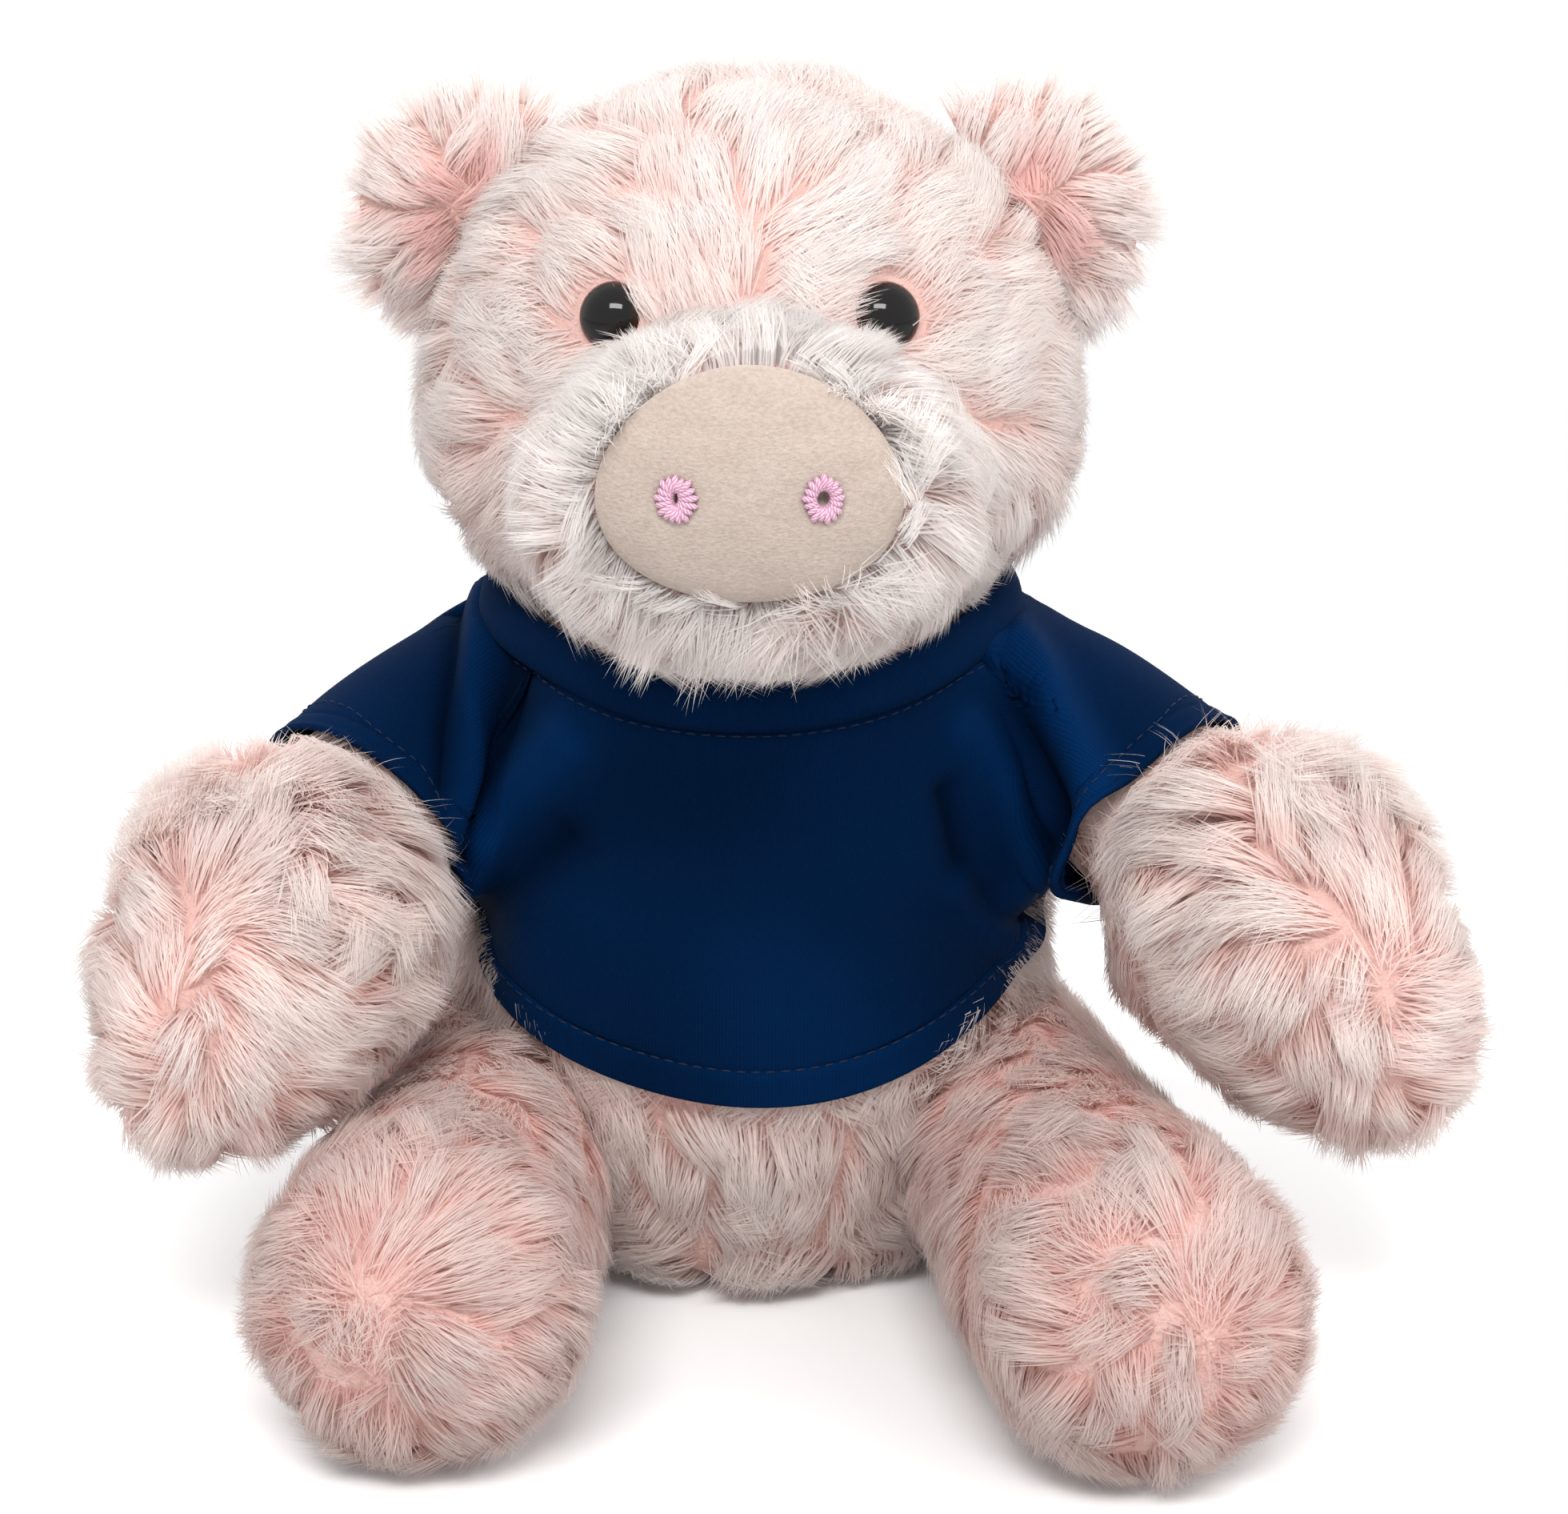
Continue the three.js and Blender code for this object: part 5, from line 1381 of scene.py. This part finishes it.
def seam_angle(height, name, facing):
    """The angle at which each row of the shirt reaches the raglan seam, or else the side seam."""
    top, normal = raglan(name)
    turns = np.linspace(0, math.pi / 2, 40)

    def angle_of(turn):
        return math.pi / 2 * facing - SIDES[name] * facing * turn

    def past(turn):
        return (around_torso(angle_of(turn), height) - top) @ normal > 0

    beyond = np.stack([past(np.full_like(height, t)) for t in turns])
    met = beyond.any(0)
    far = turns[np.where(met, np.argmax(beyond, axis=0), len(turns) - 1)]
    far = halve(np.maximum(far - (turns[1] - turns[0]), 0), far, past, 10)
    return angle_of(np.where(met, far, math.pi / 2))


def fold_rise(points):
    """The height of the folds at places on the shirt, each a smooth ridge or valley along its line."""
    rise = waves(points, 55, 301)[..., 0] * 0.9
    seen = points[..., [0, 2]]
    for height, width, line in fold_lines:
        away = np.min(np.linalg.norm(seen[..., None, :] - line, axis=-1), axis=-1)
        rise = rise + np.where(points[..., 1] < 4, 1, 0) * height * np.exp(-((away / width) ** 2))
    return rise


def jersey_material():
    """Fine single jersey: upright wales that waver, with a soft sheen, and painted shade: darker in the fold
    valleys, lighter on the ridges.
    """
    material, tree, shader = new_material("Navy jersey with painted fold shade", 0.85, 0.12, 0.015, (0.2, 0.5, 1.0))
    shader.inputs["Specular Tint"].default_value = (0.15, 0.4, 0.9, 1)
    across, up, _ = parts_of(tree, node(tree, "ShaderNodeUVMap", uv_map="UVMap").outputs[0])
    waver = math_node(tree, "MULTIPLY", noise(tree, 350.0, 2.0), 0.9)
    wale = ripple(tree, math_node(tree, "ADD", across, waver))
    course = math_node(tree, "MULTIPLY", ripple(tree, up), 0.35)
    weave = mapped(tree, math_node(tree, "ADD", wale, course), -1.2, 1.2)
    base = mix_colour(tree, noise(tree, 45.0, 3.0), (0.0002, 0.0095, 0.042), (0.0005, 0.0150, 0.062))
    # Painted shade and light: the fold height multiplies the colour down to 0.2 in the valleys and up to 1.4
    # on the ridges
    height = parts_of(tree, attribute(tree, "painted_fold_shade"))[0]
    base = mix_colour(tree, 1.0, base, mapped(tree, height, -2.6, 3.5, 0.2, 1.4), "MULTIPLY")
    paint(tree, shader, mix_colour(tree, weave, mix_colour(tree, 0.35, base, (0.0, 0.004, 0.02)), base))
    emboss(tree, shader, weave, 0.35, 0.00025)
    return material


JERSEY = jersey_material()
# Millimetres from wale to wale
WALE = 0.5


def cloth_piece(name, surface, rise, goes_round, stretch, nodes):
    """A sheet with thickness: an outer and an inner grid joined round the edges. U and V count wales."""
    normals = grid_normals(surface, goes_round)
    rows, columns = surface.shape[:2]
    outer = surface + normals * JERSEY_THICK
    quads = grid_corners(rows, columns, goes_round)
    count = rows * columns
    inner_quads = quads[:, ::-1] + count
    rims = []
    last = columns if goes_round else columns - 1
    k = np.arange(last)
    after = (k + 1) % columns
    for base, flip in ((0, False), ((rows - 1) * columns, True)):
        rim = np.stack([base + k + count, base + after + count, base + after, base + k], axis=-1)
        rims.append(rim[:, ::-1] if flip else rim)
    if not goes_round:
        r = np.arange(rows - 1)
        for base, flip in ((0, True), (columns - 1, False)):
            rim = np.stack([base + r * columns + count, base + (r + 1) * columns + count,
                            base + (r + 1) * columns, base + r * columns], axis=-1)
            rims.append(rim[:, ::-1] if flip else rim)
    points = np.concatenate([outer.reshape(-1, 3), surface.reshape(-1, 3)])
    corners = turned_out(points, np.concatenate([quads, inner_quads, *rims])).ravel()
    made = make_object(name, points, corners, 4, JERSEY)
    uv = uv_grid(np.linspace(0, stretch[1] / WALE, rows), np.linspace(0, stretch[0] / WALE, columns))
    set_uv(made, "UVMap", np.tile(uv, (2, 1)))
    # The fold height, kept for the jersey's painted shade in the valleys and painted light on the ridges
    painted_fold_shade = np.zeros((rows, columns, 3))
    painted_fold_shade[..., 0] = rise
    set_attribute(made, "painted_fold_shade", np.tile(painted_fold_shade.reshape(-1, 3), (2, 1)))
    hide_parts(*nodes)
    return made, outer, normals


def ease_line(values, passes):
    """Values along a line, each drawn towards the mean of its neighbours, pass by pass."""
    values = values.copy()
    for _ in range(passes):
        values[1:-1] = values[1:-1] * 0.5 + (values[:-2] + values[2:]) * 0.25
    return values


def panel_surface(facing, hem_middle, rows, columns):
    """The front or back of the shirt between its seams, from the hem up to the neck seam."""
    lowest, highest = hem_middle * TORSO_HEIGHT, NECK_SIDE
    heights = np.linspace(lowest, highest, 60)
    edges = [ease_line(seam_angle(heights, name, facing), 6) for name in ("right", "left")]
    share = np.linspace(-1, 1, columns) * PANEL_TUCK

    def seen(height):
        right, left = (np.interp(height, heights, edge) for edge in edges)
        return around_torso(right + (left - right) * (share + 1) / 2, height)

    hem = (hem_middle + (HEM_SIDE - hem_middle) * np.minimum(share**2, 1)) * TORSO_HEIGHT
    top = np.full(columns, NECK_FRONT)
    for _ in range(4):
        top = neck_height(seen(top)[:, 1])
    rise = np.linspace(0, 1, rows)
    return relax(np.stack([seen(hem + (top - hem) * r) for r in rise]), 25)


def hem_band(height, width, edge, groove):
    """The rise of a folded hem up to its width, with a groove at its stitches."""
    folded = 0.35 * (1 - smooth(height, width - edge, width + 0.2))
    return folded - 0.3 * np.exp(-(((height - width) / groove) ** 2))


def finish_surface(grid, goes_round, extra):
    """The grid moved out along its normals by its folds and by extra, but never down to the backing."""
    rise = np.maximum(fold_rise(grid) + extra, LOWEST_CLOTH)
    return grid + grid_normals(grid, goes_round) * rise[..., None], rise


def stitch_row(name, line, normals, body, fabric, blended=None):
    """Topstitches at an even pitch along a line on the cloth."""
    steps = distances(line)
    starts = np.arange(STITCH_PITCH / 2, steps[-1] - STITCH_LENGTH, STITCH_PITCH)
    first, last = between(starts, steps, line), between(starts + STITCH_LENGTH, steps, line)
    outs = unit(between(starts + STITCH_LENGTH / 2, steps, normals))
    made = stitches(name, first, last, outs, STITCH_RADIUS, 0.22, fabric)
    if blended:
        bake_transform(made)
    else:
        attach(made, body)
    return made


def stitch_material():
    """Matt navy sewing thread."""
    material, tree, shader = new_material("Navy sewing thread", 0.6, 0.3, 0.1, (0.4, 0.5, 0.9))
    grain = noise(tree, 1800.0, 1.0)
    paint(tree, shader, mix_colour(tree, grain, (0.0, 0.004, 0.018), (0.001, 0.012, 0.045)))
    return material


def build_shirt():
    thread = stitch_material()
    for name, facing, hem_middle in (("front", -1, HEM_FRONT), ("back", 1, HEM_BACK)):
        rows, columns = 130, 170
        grid = panel_surface(facing, hem_middle, rows, columns)
        up = np.linspace(0, 1, rows)[:, None]
        beside = np.abs(np.linspace(-1, 1, columns))[None] * PANEL_TUCK
        sink = -1.8 * smooth(beside, 0.972, 1.005) - 0.9 * smooth(beside, 1.01, 1.07)
        height = np.linalg.norm(grid - grid[:1], axis=-1)
        band = hem_band(height, HEM_BAND, 0.6, 0.7)
        below_neck = np.linalg.norm(grid[-1:] - grid, axis=-1)
        neck_seam = -1.3 * np.exp(-((below_neck / 1.3) ** 2))
        surface, rise = finish_surface(grid, False, band + sink + neck_seam + 0.4 * (1 - up) ** 4)
        made, outer, normals = cloth_piece(
            f"shirt_{name}_panel", surface, rise, False, (150, 80), [f"shirt_{name}"])
        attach(made, "torso")
        up_middle = height[:, columns // 2]
        below_neck = up_middle[-1] - up_middle
        for edge, near, trim in (("hem", up_middle - HEM_BAND, 2), ("neck", below_neck - 1.7, 3)):
            row = int(np.argmin(np.abs(near)))
            line, outs = outer[row, trim:-trim], normals[row, trim:-trim]
            stitch_row(f"shirt_{name}_{edge}_stitches", line, outs, "torso", thread)
    for name in SIDES:
        build_sleeve(name, thread)
    build_neckband()


def build_sleeve(name, thread):
    """A sleeve from the raglan and neck seams to its hem, in rings square to the arm's spine.

    Its inner end is tucked in under the panels, and runs on straight into the body under the arm.
    """
    arm = arms[name]
    rows, columns = 70, 180
    hem = arm.length * SLEEVE_SHARE
    top, normal = raglan(name)
    angle = circle(columns)

    def ring_at(distance):
        distance = np.broadcast_to(distance, (columns,)).astype(float)
        place, _, across, along = arm.at(distance)
        direction = across * np.cos(angle)[:, None] + along * np.sin(angle)[:, None]
        ball = np.sqrt(np.maximum(ARM_ROOT**2 - distance**2, 1))
        inside = np.where(distance > 0, arm.radius(distance), ball)
        far, found = leave(place, direction, inside + JERSEY_EASE, 15)
        return place + direction * far[:, None], found

    def sewn(distance):
        place, found = ring_at(distance)
        return found & ((place - top) @ normal > 0) & (place[:, 2] < neck_height(place[:, 1]))

    far = halve(np.full(columns, -ARM_ROOT * 2.0), np.full(columns, hem), sewn, 14)
    follows = ring_at(far - SLEEVE_TUCK)[1]
    far = far - np.where(follows, SLEEVE_TUCK, 0)
    grid = np.stack([ring_at(far + (hem - far) * share)[0] for share in np.linspace(0, 1, rows)])[::-1]
    place, tangent = arm.at(far)[:2]
    gusset = np.where(grid[-1][:, 2] < place[:, 2], GUSSET, np.where(follows, 0.9, GUSSET * 0.4))
    inward = tangent * gusset[:, None] / 3
    grid = np.concatenate([grid, [grid[-1] - inward * step for step in (1, 2, 3)]])
    tuck = np.where(follows, SLEEVE_TUCK, 0) + gusset
    if name == "right":
        grid, tuck = grid[:, ::-1], tuck[::-1]
    height = np.linalg.norm(grid - grid[:1], axis=-1)
    full = np.linalg.norm(grid[-1:] - grid[:1], axis=-1)
    band = hem_band(height, SLEEVE_BAND, 0.5, 0.6)
    past = full - tuck - height
    seam = -1.5 * np.exp(-((np.maximum(past, 0) / 1.1) ** 2)) - 0.8 * smooth(-past, 0, 1.5)
    surface, rise = finish_surface(grid, True, band + seam)
    made, outer, normals = cloth_piece(
        f"shirt_sleeve_{name}_cloth", surface, rise, True, (135, 40), [f"shirt_sleeve_{name}"])
    pivot = to_frame(arm.pivot)
    tip = to_frame(arm.at(np.array([hem]))[0][0])
    ends = (pivot + (tip - pivot) * -0.1, pivot + (tip - pivot) * 0.8)
    blended = ("torso", f"arm_{name}", tuple(ends[0]), tuple(ends[1]))
    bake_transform(made)
    row = int(np.argmin(np.abs(height.mean(1) - SLEEVE_BAND)))
    line = np.concatenate([outer[row], outer[row, :1]])
    outs = np.concatenate([normals[row], normals[row, :1]])
    stitch_row(f"shirt_sleeve_{name}_stitches", line, outs, None, thread, blended=blended)


def build_neckband():
    """A folded band that stands on the neck seam and leans in, with a groove where it meets the body."""
    columns, rows = 260, 22
    angle = circle(columns)
    foot = around_torso(angle, np.full(columns, NECK_FRONT))
    for _ in range(4):
        foot = around_torso(angle, neck_height(foot[:, 1]))
    foot = foot + waves(foot, 30, 77)[:, :1] * 0.3
    out = np.stack([np.cos(angle), np.sin(angle), np.zeros(columns)], axis=-1)
    share = np.linspace(0, 1, rows)[:, None, None]
    inner = foot + np.array([0, 0, NECKBAND_HEIGHT]) * share - out * NECKBAND_LEAN * share**2
    bulge = np.sin(math.pi * np.clip(share * 1.05, 0, 1)) ** 0.5 * 1.2 - 1.4 * np.exp(-((share / 0.1) ** 2))
    surface = inner + out * bulge
    # Painted shade for the neckband: darkest in the groove at its foot, lighter on its bulge
    rise = np.broadcast_to(bulge[..., 0] * 1.5 - 1.2, (rows, columns))
    made, _, _ = cloth_piece("shirt_neckband_rib", surface, rise, True, (310, 9), ["shirt_neckband"])
    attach(made, "torso")


# Room, light and camera


def floor_material():
    """A pale sheet that keeps its shadow near the toy and fades to the white of the backdrop away from it."""
    material, tree, shader = new_material("Pale floor", 0.95, 0.1)
    place = node(tree, "ShaderNodeTexCoord")
    away = node(tree, "ShaderNodeVectorMath", {0: place.outputs["Object"]}, operation="LENGTH")
    fade = mapped(tree, away.outputs["Value"], 0.12, 0.42, interpolation_type="SMOOTHSTEP")
    seen = node(tree, "ShaderNodeLightPath")
    white = math_node(tree, "MULTIPLY", fade, seen.outputs["Is Camera Ray"])
    pale = mix_colour(tree, seen.outputs["Is Camera Ray"], (0.62, 0.62, 0.62), (0.93, 0.93, 0.93))
    shade = mix_colour(tree, white, pale, (0.0, 0.0, 0.0))
    tree.links.new(shade, shader.inputs["Base Color"])
    shader.inputs["Emission Color"].default_value = (1, 1, 1, 1)
    tree.links.new(white, shader.inputs["Emission Strength"])
    return material


# The strength of the white world as the toy is lit by it; the camera sees it at full strength
WORLD_LIGHT = 0.92


def build_room():
    half = 3.0
    corners = np.array([[-half, -half, 0], [half, -half, 0], [half, half, 0], [-half, half, 0]])
    mesh = bpy.data.meshes.new("floor")
    mesh.from_pydata([tuple(c) for c in corners], [], [(0, 1, 2, 3)])
    mesh.materials.append(floor_material())
    link_object("floor", mesh)

    world = bpy.data.worlds.new("studio")
    world.use_nodes = True
    bpy.context.scene.world = world
    tree = world.node_tree
    background = tree.nodes["Background"]
    background.inputs["Color"].default_value = (1, 1, 1, 1)
    seen = node(tree, "ShaderNodeLightPath")
    strength = mapped(tree, seen.outputs["Is Camera Ray"], 0, 1, WORLD_LIGHT, 1.0)
    tree.links.new(strength, background.inputs["Strength"])

    def lamp(name, place, aim, size, power, mirrored=False):
        data = bpy.data.lights.new(name, "AREA")
        data.shape = "RECTANGLE"
        data.size, data.size_y = size
        data.energy = power
        made = link_object(name, data)
        made.location = place
        way = Vector(aim) - Vector(place)
        made.rotation_euler = way.to_track_quat("-Z", "Y").to_euler()
        made.visible_glossy = mirrored

    middle = (float(ORIGIN[0]), float(ORIGIN[1]), 0.12)
    lamp("window", (-0.12, -0.85, 1.15), middle, (0.8, 0.3), 13.5, True)
    lamp("fill", (0.9, -0.5, 0.7), middle, (0.8, 0.8), 4.0)
    lamp("rim", (-0.2, 0.9, 0.9), middle, (0.8, 0.5), 4.0)


def build_camera():
    """The camera looks along its measured tilt; the shift puts the aimed point at its own pixel."""
    data = bpy.data.cameras.new("camera")
    camera = link_object("camera", data)
    bpy.context.scene.camera = camera
    width, height = PICTURE
    long_side = max(PICTURE)
    data.sensor_width = 36
    data.lens = FOCAL_PIXELS * data.sensor_width / long_side
    data.shift_x = (width / 2 - AIM_PIXEL[0]) / long_side
    data.shift_y = (AIM_PIXEL[1] - height / 2) / long_side
    aim = Vector(to_frame(np.array([0, 0, AIM_HEIGHT])))
    back = Vector((0, -math.cos(CAMERA_LIFT), math.sin(CAMERA_LIFT)))
    camera.location = aim + back * CAMERA_DISTANCE * MM
    camera.rotation_euler = (-back).to_track_quat("-Z", "Y").to_euler()
    data.clip_start = 0.01


build_camera()
build_room()
build_torso()
build_head()
build_muzzle()
for side_name in SIDES:
    build_ear(side_name)
build_eyes()
build_snout()
build_nostrils()
for side_name in SIDES:
    build_arm(side_name)
for side_name in SIDES:
    build_leg(side_name)
build_tail()
build_shirt()

bpy.context.scene.view_settings.view_transform = "Standard"
